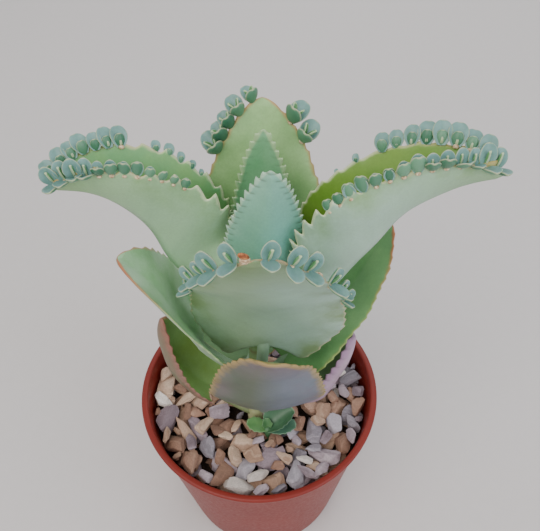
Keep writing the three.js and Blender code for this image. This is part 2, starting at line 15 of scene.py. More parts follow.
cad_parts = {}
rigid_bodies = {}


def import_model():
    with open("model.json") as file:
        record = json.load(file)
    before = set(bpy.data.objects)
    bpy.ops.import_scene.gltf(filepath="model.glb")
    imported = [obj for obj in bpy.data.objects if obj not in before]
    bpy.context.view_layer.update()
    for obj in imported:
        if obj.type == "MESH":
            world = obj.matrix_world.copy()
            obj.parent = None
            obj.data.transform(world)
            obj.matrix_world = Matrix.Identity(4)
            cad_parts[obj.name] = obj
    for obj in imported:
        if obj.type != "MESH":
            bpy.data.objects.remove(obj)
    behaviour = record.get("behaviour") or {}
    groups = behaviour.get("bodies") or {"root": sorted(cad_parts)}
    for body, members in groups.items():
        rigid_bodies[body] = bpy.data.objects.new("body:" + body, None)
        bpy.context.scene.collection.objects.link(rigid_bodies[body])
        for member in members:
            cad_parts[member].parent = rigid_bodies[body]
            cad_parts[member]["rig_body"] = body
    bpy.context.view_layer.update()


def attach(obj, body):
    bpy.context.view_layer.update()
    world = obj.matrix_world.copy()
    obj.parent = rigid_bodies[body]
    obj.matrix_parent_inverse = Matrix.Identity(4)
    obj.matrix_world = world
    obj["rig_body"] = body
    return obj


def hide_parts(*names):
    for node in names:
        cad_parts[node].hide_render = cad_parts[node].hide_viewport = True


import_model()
MM = 0.001

# ---- Camera -------------------------------------------------------------------------

CAMERA_PLACE = (6.70, -172.72, 385.65)
CAMERA_PITCH = math.radians(48.216)  # below the horizon
CAMERA_ROLL = math.radians(-1.061)
CAMERA_LENS = 42.67


def make_camera():
    forward = Vector((0, math.cos(CAMERA_PITCH), -math.sin(CAMERA_PITCH)))
    level = Vector((1, 0, 0))
    rise = level.cross(forward)
    right = level * math.cos(CAMERA_ROLL) + rise * math.sin(CAMERA_ROLL)
    up = rise * math.cos(CAMERA_ROLL) - level * math.sin(CAMERA_ROLL)
    data = bpy.data.cameras.new("camera")
    data.sensor_width = 36
    data.lens = CAMERA_LENS
    camera = bpy.data.objects.new("camera", data)
    turn = Matrix((right, up, -forward)).transposed()
    camera.matrix_world = Matrix.Translation(Vector(CAMERA_PLACE) * MM) @ turn.to_4x4()
    bpy.context.scene.collection.objects.link(camera)
    bpy.context.scene.camera = camera


make_camera()

# ---- Meshes -------------------------------------------------------------------------


def unit(rows):
    return rows / np.maximum(np.linalg.norm(rows, axis=-1, keepdims=True), 1e-9)


def ease(x):
    t = np.clip(x, 0, 1)
    return t * t * (3 - 2 * t)


def mix(a, b, t):
    return a + (b - a) * t


class Shape:
    """Corners, faces and measures of one piece while it is put together."""

    def __init__(self):
        self.corners = []
        self.faces = []
        self.finishes = []
        self.measures = {}
        self.count = 0

    def add(self, corners, faces, finish=0, **measures):
        """measures holds one number for each corner, or one for all of them."""
        corners = np.asarray(corners, float).reshape(-1, 3)
        self.corners.append(corners)
        self.faces += [tuple(self.count + i for i in face) for face in faces]
        self.finishes += [finish] * len(faces)
        for name, value in measures.items():
            rows = self.measures.setdefault(name, [])
            behind = self.count - sum(len(row) for row in rows)
            rows.append(np.zeros(behind))
            rows.append(np.broadcast_to(np.asarray(value, float).ravel(), (len(corners),))
                        if np.size(value) > 1 else np.full(len(corners), float(value)))
        self.count += len(corners)

    def build(self, name, materials):
        mesh = bpy.data.meshes.new(name)
        mesh.from_pydata((np.concatenate(self.corners) * MM).tolist(), [], self.faces)
        mesh.polygons.foreach_set("use_smooth", [True] * len(mesh.polygons))
        for key, rows in self.measures.items():
            values = np.concatenate(rows)
            values = np.append(values, np.zeros(self.count - len(values)))
            layer = mesh.attributes.new(key, "FLOAT", "POINT")
            layer.data.foreach_set("value", values.astype(np.float32))
        for material in materials:
            mesh.materials.append(material)
        mesh.polygons.foreach_set("material_index", self.finishes)
        mesh.update()
        piece = bpy.data.objects.new(name, mesh)
        bpy.context.scene.collection.objects.link(piece)
        return piece


def settle(piece, node):
    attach(piece, "root")
    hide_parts(node)


def grid_faces(rows, columns, closed=False):
    """Quads between the corners of a grid; closed joins the last column to the first."""
    faces = []
    for i in range(rows - 1):
        for j in range(columns if closed else columns - 1):
            a = i * columns + j
            b = i * columns + (j + 1) % columns
            faces.append((a, b, b + columns, a + columns))
    return faces


def tube_faces(rings, sides):
    """Quads round a tube of rings, and one face across each end."""
    ends = [tuple(range(sides))[::-1], tuple(range((rings - 1) * sides, rings * sides))]
    return grid_faces(rings, sides, closed=True) + ends


def skin_faces(skin, turn):
    """Quads of one skin of a sheet from the grid of its corners' numbers; turn is 1, or -1
    to face them the other way."""
    quads = zip(skin[:-1, :-1].flat, skin[1:, :-1].flat, skin[1:, 1:].flat, skin[:-1, 1:].flat)
    return [quad[::turn] for quad in quads]


def turned(profile, sides):
    """Corners and faces of a profile of (radius, height) that is turned about the Z axis."""
    turn = np.linspace(0, 2 * np.pi, sides, endpoint=False)
    radius, height = np.array(profile, float).T
    corners = np.stack([
        radius[:, None] * np.cos(turn),
        radius[:, None] * np.sin(turn),
        np.repeat(height[:, None], sides, axis=1),
    ], axis=-1)
    return corners, tube_faces(len(profile), sides)


# ---- Materials ----------------------------------------------------------------------


def linear(code):
    """sRGB hex to linear RGBA."""
    parts = [int(code[i:i + 2], 16) / 255 for i in (1, 3, 5)]
    return (*[p / 12.92 if p <= 0.04045 else ((p + 0.055) / 1.055) ** 2.4 for p in parts], 1)


def add(material, kind, inputs=(), stops=(), gives=0, **settings):
    """A node with its settings, its inputs as values, hex colours or links, and the stops of
    its ramp. gives is the number or name of the output that is returned."""
    tree = material.node_tree
    node = tree.nodes.new("ShaderNode" + kind)
    for key, value in settings.items():
        setattr(node, key, value)
    for key, value in dict(inputs).items():
        if isinstance(value, bpy.types.NodeSocket):
            tree.links.new(value, node.inputs[key])
        else:
            node.inputs[key].default_value = linear(value) if isinstance(value, str) else value
    for i, (place, value) in enumerate(stops):
        ramp = node.color_ramp.elements
        stop = ramp[i] if i < len(ramp) else ramp.new(place)
        stop.position = place
        stop.color = linear(value) if isinstance(value, str) else (value, value, value, 1)
    return node.outputs[gives]


def finished(name, **sockets):
    """A material whose shader takes the given sockets, by their names with _ for a space,
    and the place of each point of its surface."""
    material = bpy.data.materials.new(name)
    material.use_nodes = True
    shader = material.node_tree.nodes["Principled BSDF"]
    for key, value in sockets.items():
        shader.inputs[key.replace("_", " ")].default_value = value
    return material, add(material, "TexCoord", gives="Object")


def dress(material, **sockets):
    """Links what was worked out for the surface to the shader."""
    shader = material.node_tree.nodes["Principled BSDF"]
    for key, value in sockets.items():
        material.node_tree.links.new(value, shader.inputs[key.replace("_", " ")])


def per_mm(size):
    """Pattern scale, in repeats per metre, of a pattern whose repeat is size mm."""
    return 1 / (size * MM)


# ---- Leaf finishes ------------------------------------------------------------------

# Each leaf's upper face and its mottling, its underside to the right and to the left of the
# midrib (seen from above with the tip away), where a paler, bluer left half is partly bloom and
# partly a painted sheen on that half of the fold, and that side's stains, the line of its
# margin at the base and at the tip, how far in mm that line runs in, and how strong the dark
# spots at its notches are.
LEAF_COLOURS = {
    "back_upper": ("#8cb678", "#a0c788", "#8fae92", "#8fae92", "#7d9f78",
                   "#b0925a", "#b98a5a", 1.4, 0.1),
    "front_upper": ("#82a886", "#7d9f78", "#93ae90", "#9cb8a8", "#728a58",
                    "#b9b08c", "#a8906c", 0.9, 0.1),
    "left_arching": ("#68a26b", "#7cac68", "#9dc29c", "#9dc29c", "#85a86f",
                     "#e0e6bd", "#b09058", 1.1, 0),
    # The right arching leaf's saturated yellow-green upper face is partly its own colour and
    # partly painted light shining through the blade.
    "right_arching": ("#6a9434", "#7a9f3e", "#a5c3b0", "#a5c3b0", "#86a874",
                      "#e0e6bd", "#b09a58", 1.1, 0),
    "back_lower": ("#6b8f66", "#7a9c70", "#8ca690", "#8ca690", "#7d9872",
                   "#b07a55", "#b07a55", 1.2, 0),
    "front_lower": ("#7d9a66", "#8ba774", "#5d695a", "#6d7783", "#7a6c72",
                    "#a08a58", "#a88c55", 3.6, 0.45),
    "left_middle": ("#86b880", "#a2c4a0", "#92aa90", "#92aa90", "#7d9872",
                    "#9aad78", "#b0603a", 1.3, 0),
    "right_middle": ("#67995f", "#76a569", "#8ca690", "#8ca690", "#7d9872",
                     "#94a45a", "#b0603c", 1.3, 0),
    "left_lowest": ("#7a9c4a", "#84ac66", "#66684e", "#66684e", "#86685a",
                    "#8d6258", "#966052", 3.4, 0.3),
    "right_lowest": ("#6b8a62", "#7a9870", "#a78f9f", "#a78f9f", "#b59cb0",
                     "#ab88a6", "#a07d9a", 4.0, 0.3),
    "back_young": ("#6aa474", "#78ac80", "#7fa58a", "#7fa58a", "#8cb096",
                   "#b5d0a0", "#a9c492", 0.9, 0.25),
    "front_young": ("#6f9a7c", "#7fa88a", "#7eb69c", "#7cbcb0", "#8ab8a2",
                    "#c6dcc6", "#b0cdb2", 0.9, 0.6),
}


def leaf_finish(name, length):
    """Living succulent leaf, grown: a fleshy blade under a dull wax bloom. The wax gives a
    broad soft sheen, the flesh lets a little light through, and the thin margin is
    stained by the sun."""
    (upper, upper_mottle, under, under_left_with_sheen, under_mottle, base_line, tip_line, run,
     spots) = LEAF_COLOURS[name]
    material, place = finished(
        f"waxy_leaf_{name}", Roughness=0.46, IOR=1.45, Subsurface_Weight=0.12,
        Subsurface_Radius=(0.6, 1.0, 0.35), Subsurface_Scale=0.0012)
    measure = {key: add(material, "Attribute", attribute_name=key, gives="Fac")
               for key in ("under", "from_edge", "across", "left", "out", "notch")}
    # Mottling in soft patches about 16 mm across.
    patches = add(material, "TexNoise", {
        "Vector": place, "Scale": per_mm(16), "Detail": 3.0, "Roughness": 0.55})
    patch = add(material, "ValToRGB", {"Fac": patches}, stops=[(0.38, 0.0), (0.66, 1.0)])
    top = add(material, "MixRGB", {"Fac": patch, "Color1": upper, "Color2": upper_mottle})
    # The underside's darker stains gather within about 14 mm of the margin and at the tip.
    near = add(material, "MapRange", {
        "Value": measure["from_edge"], "From Min": 2.0, "From Max": 14.0,
        "To Min": 0.9, "To Max": 0.12})
    edge_stain = add(material, "Math", {0: patch, 1: near}, operation="MULTIPLY")
    tip_stain = add(material, "MapRange", {
        "Value": measure["out"], "From Min": 0.6 * length, "From Max": length, "To Max": 0.85})
    stain = add(material, "Math", {0: edge_stain, 1: tip_stain}, operation="MAXIMUM")
    # Where the two underside colours differ, the left half is painted paler and bluer: partly
    # bloom, partly painted sheen on that half of the fold.
    sheen_half = add(material, "MapRange", {
        "Value": measure["left"], "From Min": -0.3, "From Max": 0.3}, clamp=True)
    plain = add(material, "MixRGB", {"Fac": sheen_half, "Color1": under, "Color2": under_left_with_sheen})
    below = add(material, "MixRGB", {"Fac": stain, "Color1": plain, "Color2": under_mottle})
    flesh = add(material, "MixRGB", {"Fac": measure["under"], "Color1": top, "Color2": below})
    # Side veins run outwards and forward from the midrib. They show only as soft strokes,
    # 4 mm apart and 25 mm long, because the flesh over them is thick.
    forward = add(material, "Math", {
        0: measure["across"], 1: -0.8, 2: measure["out"]}, operation="MULTIPLY_ADD")
    strokes_x = add(material, "Math", {0: forward, 1: 1 / 4}, operation="MULTIPLY")
    strokes_y = add(material, "Math", {0: measure["across"], 1: 1 / 25}, operation="MULTIPLY")
    vein_place = add(material, "CombineXYZ", {
        "X": strokes_x, "Y": strokes_y, "Z": measure["under"]})
    veins = add(material, "TexNoise", {
        "Vector": vein_place, "Scale": 1.0, "Detail": 3.0, "Roughness": 0.6})
    vein = add(material, "MapRange", {
        "Value": veins, "From Min": 0.3, "From Max": 0.7, "To Min": 0.96, "To Max": 1.03})
    veined = add(material, "MixRGB", {
        "Fac": 1.0, "Color1": flesh, "Color2": vein}, blend_type="MULTIPLY")
    # Fine flecks of wax, drawn at 0.9 mm so that they show.
    flecks = add(material, "TexNoise", {"Vector": place, "Scale": per_mm(0.9), "Detail": 2.0})
    fleck = add(material, "MapRange", {
        "Value": flecks, "From Min": 0.35, "From Max": 0.75, "To Min": 0.95, "To Max": 1.04})
    dusted = add(material, "MixRGB", {
        "Fac": 1.0, "Color1": veined, "Color2": fleck}, blend_type="MULTIPLY")
    # The margin's stain fades out over its run and breaks up in 5 mm lengths.
    tipward = add(material, "MapRange", {
        "Value": measure["out"], "From Min": 0.6 * length, "From Max": 0.92 * length})
    margin = add(material, "MixRGB", {"Fac": tipward, "Color1": base_line, "Color2": tip_line})
    breaks = add(material, "TexNoise", {"Vector": place, "Scale": per_mm(5), "Detail": 2.0})
    reach = add(material, "Math", {0: breaks, 1: 2.0 * run}, operation="MULTIPLY")
    inward = add(material, "Math", {0: measure["from_edge"], 1: reach}, operation="DIVIDE")
    line = add(material, "MapRange", {
        "Value": inward, "From Min": 0.15, "From Max": 1.0, "To Min": 0.85, "To Max": 0.0})
    edged = add(material, "MixRGB", {"Fac": line, "Color1": dusted, "Color2": margin})
    # Dark spots of old plantlet buds, up to 3 mm in from each notch.
    band = add(material, "MapRange", {
        "Value": measure["from_edge"], "From Min": 3.0, "From Max": 1.8}, clamp=True)
    spot = add(material, "Math", {0: measure["notch"], 1: band}, operation="MULTIPLY")
    strength = add(material, "Math", {0: spot, 1: spots}, operation="MULTIPLY")
    spotted = add(material, "MixRGB", {"Fac": strength, "Color1": edged, "Color2": "#46513c"})
    grain = add(material, "Bump", {"Height": flecks, "Strength": 0.1, "Distance": 0.0003})
    relief = add(material, "Bump", {
        "Height": veins, "Strength": 0.08, "Distance": 0.0008, "Normal": grain})
    gloss = add(material, "MapRange", {
        "Value": patches, "From Min": 0.3, "From Max": 0.7, "To Min": 0.4, "To Max": 0.56})
    dress(material, Base_Color=spotted, Roughness=gloss, Normal=relief)
    return material


def leaflet_finish():
    """Plantlet leaflet: young succulent leaf under a thick blue-white wax. The bowl is
    blue-grey, partly from the wax and partly from a painted reflection of the sky in its pale
    bluish clouds; the back is greener, and the rounded rim shows pale green to buff."""
    material, place = finished(
        "waxy_leaflet", Roughness=0.42, IOR=1.45, Subsurface_Weight=0.15,
        Subsurface_Radius=(0.6, 1.0, 0.4), Subsurface_Scale=0.0008)
    measure = {key: add(material, "Attribute", attribute_name=key, gives="Fac")
               for key in ("bowl", "rim", "tone")}
    clouds = add(material, "TexNoise", {"Vector": place, "Scale": per_mm(4), "Detail": 3.0})
    # The bowl's blue-grey is partly the wax and partly painted reflection of the sky, paler in
    # its bluish clouds.
    bowl = add(material, "MixRGB", {"Fac": clouds, "Color1": "#4e7a6d", "Color2": "#8bb2af"})
    back = add(material, "MixRGB", {
        "Fac": measure["tone"], "Color1": "#3d6f55", "Color2": "#689878"})
    faces = add(material, "MixRGB", {"Fac": measure["bowl"], "Color1": back, "Color2": bowl})
    lip = add(material, "MapRange", {
        "Value": measure["rim"], "From Min": 0.89, "From Max": 0.99, "To Max": 0.75})
    pale = add(material, "MixRGB", {"Fac": clouds, "Color1": "#a3bd8c", "Color2": "#c4b598"})
    colour = add(material, "MixRGB", {"Fac": lip, "Color1": faces, "Color2": pale})
    relief = add(material, "Bump", {"Height": clouds, "Strength": 0.2, "Distance": 0.0003})
    dress(material, Base_Color=colour, Normal=relief)
    return material


def bud_finish():
    """The newest leaflets in the heart of a plantlet: bright, still bare of wax."""
    material, place = finished(
        "fresh_bud", Roughness=0.38, IOR=1.45, Subsurface_Weight=0.2,
        Subsurface_Radius=(0.6, 1.0, 0.3), Subsurface_Scale=0.0006)
    clouds = add(material, "TexNoise", {"Vector": place, "Scale": per_mm(1.5)})
    green = add(material, "MixRGB", {"Fac": clouds, "Color1": "#4f8a52", "Color2": "#7fae7a"})
    rim = add(material, "Attribute", attribute_name="rim", gives="Fac")
    lip = add(material, "MapRange", {
        "Value": rim, "From Min": 0.7, "From Max": 0.95, "To Max": 0.8})
    colour = add(material, "MixRGB", {"Fac": lip, "Color1": green, "Color2": "#c3d3aa"})
    dress(material, Base_Color=colour)
    return material


def root_finish():
    """Root nubs: dry, corky callus where a plantlet will root, cream with tan hollows."""
    material, place = finished("corky_root_nub", Roughness=0.75, IOR=1.45)
    cork = add(material, "TexNoise", {"Vector": place, "Scale": per_mm(0.9), "Detail": 4.0})
    colour = add(material, "ValToRGB", {"Fac": cork}, stops=[
        (0.3, "#8d6a4c"), (0.5, "#c9b08e"), (0.7, "#e2d8b8")])
    relief = add(material, "Bump", {"Height": cork, "Strength": 0.6, "Distance": 0.0004})
    dress(material, Base_Color=colour, Normal=relief)
    return material


def dry_tip_finish():
    """The dead end of a leaf, dried out: brittle, wrinkled, orange to brown."""
    material, place = finished("dried_leaf_tip", Roughness=0.7, IOR=1.45)
    wrinkles = add(material, "TexNoise", {"Vector": place, "Scale": per_mm(1.2), "Detail": 3.0})
    colour = add(material, "ValToRGB", {"Fac": wrinkles}, stops=[
        (0.35, "#7d4526"), (0.55, "#b8713f"), (0.72, "#d3a070")])
    relief = add(material, "Bump", {"Height": wrinkles, "Strength": 0.7, "Distance": 0.0005})
    dress(material, Base_Color=colour, Normal=relief)
    return material


# ---- Leaf forms ---------------------------------------------------------------------

# The finishes of a leaf with its plantlets, by their places in the piece's list.
SKIN, LEAFLET, BUD, NUB, DRY = range(5)
STEM_X, STEM_Y, STEM_GROUND = -1.5, -10, 88
STEM_LEAN_X, STEM_LEAN_Y = 0.03, 0.17
MIDRIB_HALF, MARGIN_HALF = 1.25, 0.5  # half the blade's thickness
STALK_HALF_WIDTH, STALK_HALF_HEIGHT, STALK_SIDES = 2.9, 2.1, 16
RIB = 9  # how far the stalk runs on under the blade

# on_stem is the height on the stem. It and the lengths are in mm, and angles in degrees.
# heading is given at the stem, the blade's base and its tip, and rise at the blade's middle
# too. cup is how far the left and the right half of the blade fold up, each at the midrib
# and at the margin.
# lean is the midrib's drift to the left in degrees. roll turns the blade about its midrib,
# and twist is how much further it turns by the tip. flat_base is the share of the fold that
# the base has, and flat_tip the share that the tip lacks. lobe, base_width and shoulder
# shape the base: how far its corners run back, how wide it is, and where it is full.
# tip_fullness and tip_roundness shape the tip. tooth is pitch, depth and forward hook of the
# margin's teeth in mm, and tooth_sides how much of them the left and right margin have.
# A row of plantlets is side, first and last place, count, first and last size, and first
# and last stance, and a scar is side and place. Side is 1 on the left and -1 on the right,
# and places are shares of the blade from its base.
LEAVES = [
    dict(name="back_upper", on_stem=128, stalk=22, length=103, half_width=33.5,
         heading=(78, 78, 91), rise=(60, 70, 73, 65), cup=((8, 13), (8, 13)),
         lobe=0.15, base_width=0.6, tooth=(5.2, 0.8, 0.3),
         plantlets=((1, 0.8, 0.985, 5, 1.32, 1.12, "rosette", "rosette"),
                    (-1, 0.84, 0.91, 2, 1.3, 1.25, "rosette", "rosette"))),
    dict(name="front_upper", on_stem=126, stalk=34, length=98, half_width=32,
         heading=(286, 251, 255), rise=(47, 95, 62, 64), lean=5, cup=((-8.5, 8), (-4, 17)),
         flat_base=0.42, flat_tip=0.98, lobe=0.48, base_width=0.62, roll=12,
         tip_fullness=2.3, tooth=(4.6, 0.9, 0.2),
         plantlets=((1, 0.43, 0.67, 3, 0.95, 1.05, "saucer", "saucer"),
                    (1, 0.85, 0.985, 3, 1.15, 1.1, "saucer", "saucer"),
                    (-1, 0.42, 0.66, 2, 0.9, 0.95, "saucer", "saucer"),
                    (-1, 0.8, 0.962, 3, 1.0, 1.15, "saucer", "saucer")),
         scars=((-1, 0.99), (1, 0.785)), dry_tip=True),
    dict(name="left_arching", on_stem=143, stalk=34, length=90, half_width=35,
         heading=(174, 174, 197), rise=(58, 55, 75, 10), cup=((68, 112), (68, 72)),
         flat_base=0.5, flat_tip=0.3, lobe=0, base_width=0.3, shoulder=0.5, roll=4, twist=-9,
         tip_fullness=2.1, tip_roundness=0.7, tooth=(6, 3.9, 2.6), tooth_sides=(1, 0.6),
         plantlets=((1, 0.64, 0.98, 12, 0.62, 1.0, "shut", "saucer"),
                    (-1, 0.56, 0.7, 5, 0.42, 0.7, "bowl", "bowl"),
                    (-1, 0.79, 0.98, 7, 1.12, 1.0, "bowl", "bowl"))),
    dict(name="right_arching", on_stem=140, stalk=34, length=105, half_width=35,
         heading=(-4, -4, -2), rise=(52, 53, 67, 10), cup=((63, 73), (47, 103)),
         flat_base=0.7, flat_tip=0.2, lobe=0, base_width=0.3, shoulder=0.5, roll=1, twist=-11,
         tip_fullness=2.1, tip_roundness=0.7, tooth=(6, 3.6, 2.4), tooth_sides=(0.3, 1),
         plantlets=((1, 0.57, 0.63, 2, 0.35, 0.5, "bowl", "bowl"),
                    (1, 0.7, 0.95, 8, 0.98, 1.15, "bowl", "bowl"),
                    (-1, 0.56, 0.97, 14, 0.76, 1.0, "shut", "saucer"))),
    dict(name="back_lower", on_stem=103, stalk=20, length=66, half_width=27,
         heading=(100, 104, 106), rise=(15, 38, 50, 42), cup=((8, 30), (8, 30)),
         lobe=0.1, base_width=0.5, shoulder=0.3, roll=4, tooth=(4.6, 0.9, 0.3)),
    dict(name="front_lower", on_stem=105, stalk=18, length=78, half_width=26.5,
         heading=(288, 282, 278), rise=(8, 64, 81, 60), cup=((-2, 22), (-2, 22)),
         lobe=0.1, roll=-13, tip_fullness=2.2, tip_roundness=0.6, tooth=(4.6, 1.1, 0.2)),
    dict(name="left_middle", on_stem=118, stalk=37, length=62, half_width=32,
         heading=(186, 180, 160), rise=(38, 62, 69, 43), cup=((23, 38), (1, 0)),
         lobe=0.1, base_width=0.5, roll=12, tooth=(4.8, 1.6, 0.7)),
    dict(name="right_middle", on_stem=114, stalk=18, length=84, half_width=25,
         heading=(16, 20, 43), rise=(38, 45, 45, 55), cup=((15, 25), (15, 25)),
         tooth=(4.6, 0.9, 0.5)),
    dict(name="left_lowest", on_stem=92, stalk=26.5, length=57.5, half_width=25,
         heading=(164, 158, 165), rise=(12.5, 32, 65, 109), cup=((15, 90), (20, 40)),
         roll=-7, tooth=(5.2, 1.2, 0.2)),
    dict(name="right_lowest", on_stem=92, stalk=23, length=52.5, half_width=23,
         heading=(2, 13, 22), rise=(11.5, 27, 64, 83), cup=((8, 40), (1, 107)),
         lobe=0.1, base_width=0.45, shoulder=0.35, roll=1.5, tooth=(4.6, 1.4, 0.2)),
    dict(name="back_young", on_stem=148, stalk=14, length=86, half_width=18,
         heading=(80, 80, 86), rise=(70, 72, 80, 90), lean=-1.2, cup=((13, 38), (13, 38)),
         flat_base=0.3, flat_tip=0.4, lobe=0, base_width=0.18, shoulder=0.55, roll=4,
         tip_fullness=1.8, tip_roundness=0.7, tooth=(3.6, 1.9, 1.7)),
    dict(name="front_young", on_stem=148, stalk=14, length=83, half_width=22.7,
         heading=(272, 270, 264), rise=(70, 77, 96, 94), lean=4.2, cup=((10, 24), (10, 24)),
         flat_base=0.3, flat_tip=0.4, lobe=0, base_width=0.18, shoulder=0.72, roll=4,
         tip_fullness=1.8, tip_roundness=0.7, tooth=(3.1, 1.6, 1.3)),
]
LEAF_DEFAULTS = dict(
    flat_base=1, flat_tip=0, lobe=0.25, base_width=0.72, roll=0, twist=0, lean=0,
    tip_fullness=2, tip_roundness=0.62, shoulder=0.22, tooth_sides=(1, 1), plantlets=(),
    scars=(), dry_tip=False)


def stem_axis(z):
    z = np.asarray(z, float)
    return np.stack([STEM_X + STEM_LEAN_X * (z - STEM_GROUND),
                     STEM_Y + STEM_LEAN_Y * (z - STEM_GROUND), z], axis=-1)


class Leaf:
    """Midrib and blade of one leaf, from its place on the stem out to its tip."""

    STEPS = 160  # along the midrib
    WINDOW = 16  # steps to each side over which a bend is smoothed

    def __init__(self, spec):
        self.__dict__.update({**LEAF_DEFAULTS, **spec})
        total = self.stalk + self.length
        knots = [0, self.stalk, self.stalk + self.length / 2, total]
        rise = self.spread(total, knots, self.rise)
        heading = self.spread(total, [0, self.stalk, total], self.heading)
        self.along = np.stack([np.cos(rise) * np.cos(heading),
                               np.cos(rise) * np.sin(heading), np.sin(rise)], axis=-1)
        self.side = np.stack([-np.sin(heading), np.cos(heading), 0 * heading], axis=-1)
        step = total / self.STEPS
        moves = self.along * step + self.side * math.tan(math.radians(self.lean)) * step
        self.points = stem_axis(self.on_stem) + np.vstack(
            [np.zeros(3), np.cumsum(moves[:-1], axis=0)])
        self.total = total

    def spread(self, total, knots, values):
        """Angles along the midrib, smoothed so that it bends without a corner."""
        steps = np.arange(self.STEPS + 1)
        window = np.arange(-self.WINDOW, self.WINDOW + 1)
        near = np.clip(steps[:, None] + window, 0, self.STEPS - 1)
        at = (near + 0.5) / self.STEPS * total
        return np.radians(np.interp(at, knots, values).mean(axis=1))

    def line(self, x):
        """Point, growth direction, left side and upper face at distances x."""
        at = np.clip(np.asarray(x, float) / self.total * self.STEPS, 0, self.STEPS - 1e-6)
        low = at.astype(int)
        t = (at - low)[..., None]
        point = mix(self.points[low], self.points[low + 1], t)
        along = unit(mix(self.along[low], self.along[low + 1], t))
        side = unit(mix(self.side[low], self.side[low + 1], t))
        out = np.clip((np.asarray(x, float) - self.stalk) / self.length, 0, 1)
        angle = np.radians(self.roll + self.twist * out)[..., None]
        side = side * np.cos(angle) + np.cross(along, side) * np.sin(angle)
        return point, along, side, np.cross(along, side)

    def half_at(self, s):
        shoulder = mix(self.base_width, 1, ease(s / self.shoulder))
        tip = np.maximum(1 - s ** self.tip_fullness, 0) ** self.tip_roundness
        return self.half_width * shoulder * tip

    def fold_share(self, s):
        if self.flat_base < 1:
            early = mix(self.flat_base, 1, ease(s / 0.35))
            return np.where(s < 0.35, early, 1 - self.flat_tip * ease((s - 0.35) / 0.65))
        return 1 - self.flat_tip * s

    def blade(self, s, across):
        """Points of the blade's middle sheet; across is mm to the left of the midrib."""
        s, across = np.broadcast_arrays(np.asarray(s, float), np.asarray(across, float))
        point, along, side, face = self.line(self.stalk + s * self.length)
        hand = np.where(across < 0, -1.0, 1.0)
        reach = np.abs(across)
        half = np.maximum(self.half_at(s), self.half_width * 0.12)
        left, right = np.radians(self.cup)
        share = self.fold_share(s)
        inner = np.where(hand > 0, left[0], right[0]) * share
        outer = np.where(hand > 0, left[1], right[1]) * share
        curl = (outer - inner) / half
        curl = np.where(np.abs(outer - inner) < 1e-4, 1e-4 / half, curl)
        sideways = (np.sin(inner + curl * reach) - np.sin(inner)) / curl
        upward = (np.cos(inner) - np.cos(inner + curl * reach)) / curl
        sweep = (self.lobe * self.half_width * (reach / half) ** 2
                 * np.clip(1 - s / 0.3, 0, 1) ** 2)
        return (point - along * sweep[..., None] + side * (hand * sideways)[..., None]
                + face * upward[..., None])

    def margin(self, s, hand):
        """Edge point, its direction towards the tip, straight outwards, and upper face."""
        step = 0.004
        reach = self.half_at(np.array([s, s + step, s - step]))
        edge, after, before = (self.blade(at, hand * wide) for at, wide in
                               zip((s, s + step, s - step), reach))
        inside = self.blade(s, hand * (reach[0] - 0.6))
        forward = unit(after - before)
        outward = edge - inside
        outward = unit(outward - forward * outward.dot(forward))
        face = unit(np.cross(forward, outward)) * hand
        return edge, forward, outward, face


BASE_ROUND = 0.1  # share of the blade over which its base corners are rounded
# Where a blade's corners lie from the midrib to the margin.
SHARES = np.array([0, 0.1, 0.2, 0.31, 0.42, 0.53, 0.63, 0.72, 0.8, 0.87, 0.91, 0.945, 0.975, 1])
TOOTH_RISE, TOOTH_FALL = 0.72, 0.28  # shares of a tooth before and after its highest point
TOOTH_ROWS = 11  # rows of corners for each tooth


def tooth_height(turns):
    """Height of the margin's teeth, 0 to 1, where whole turns are the notches."""
    t = turns % 1
    return np.where(t < TOOTH_RISE, t / TOOTH_RISE, (1 - t) / TOOTH_FALL) ** 1.25


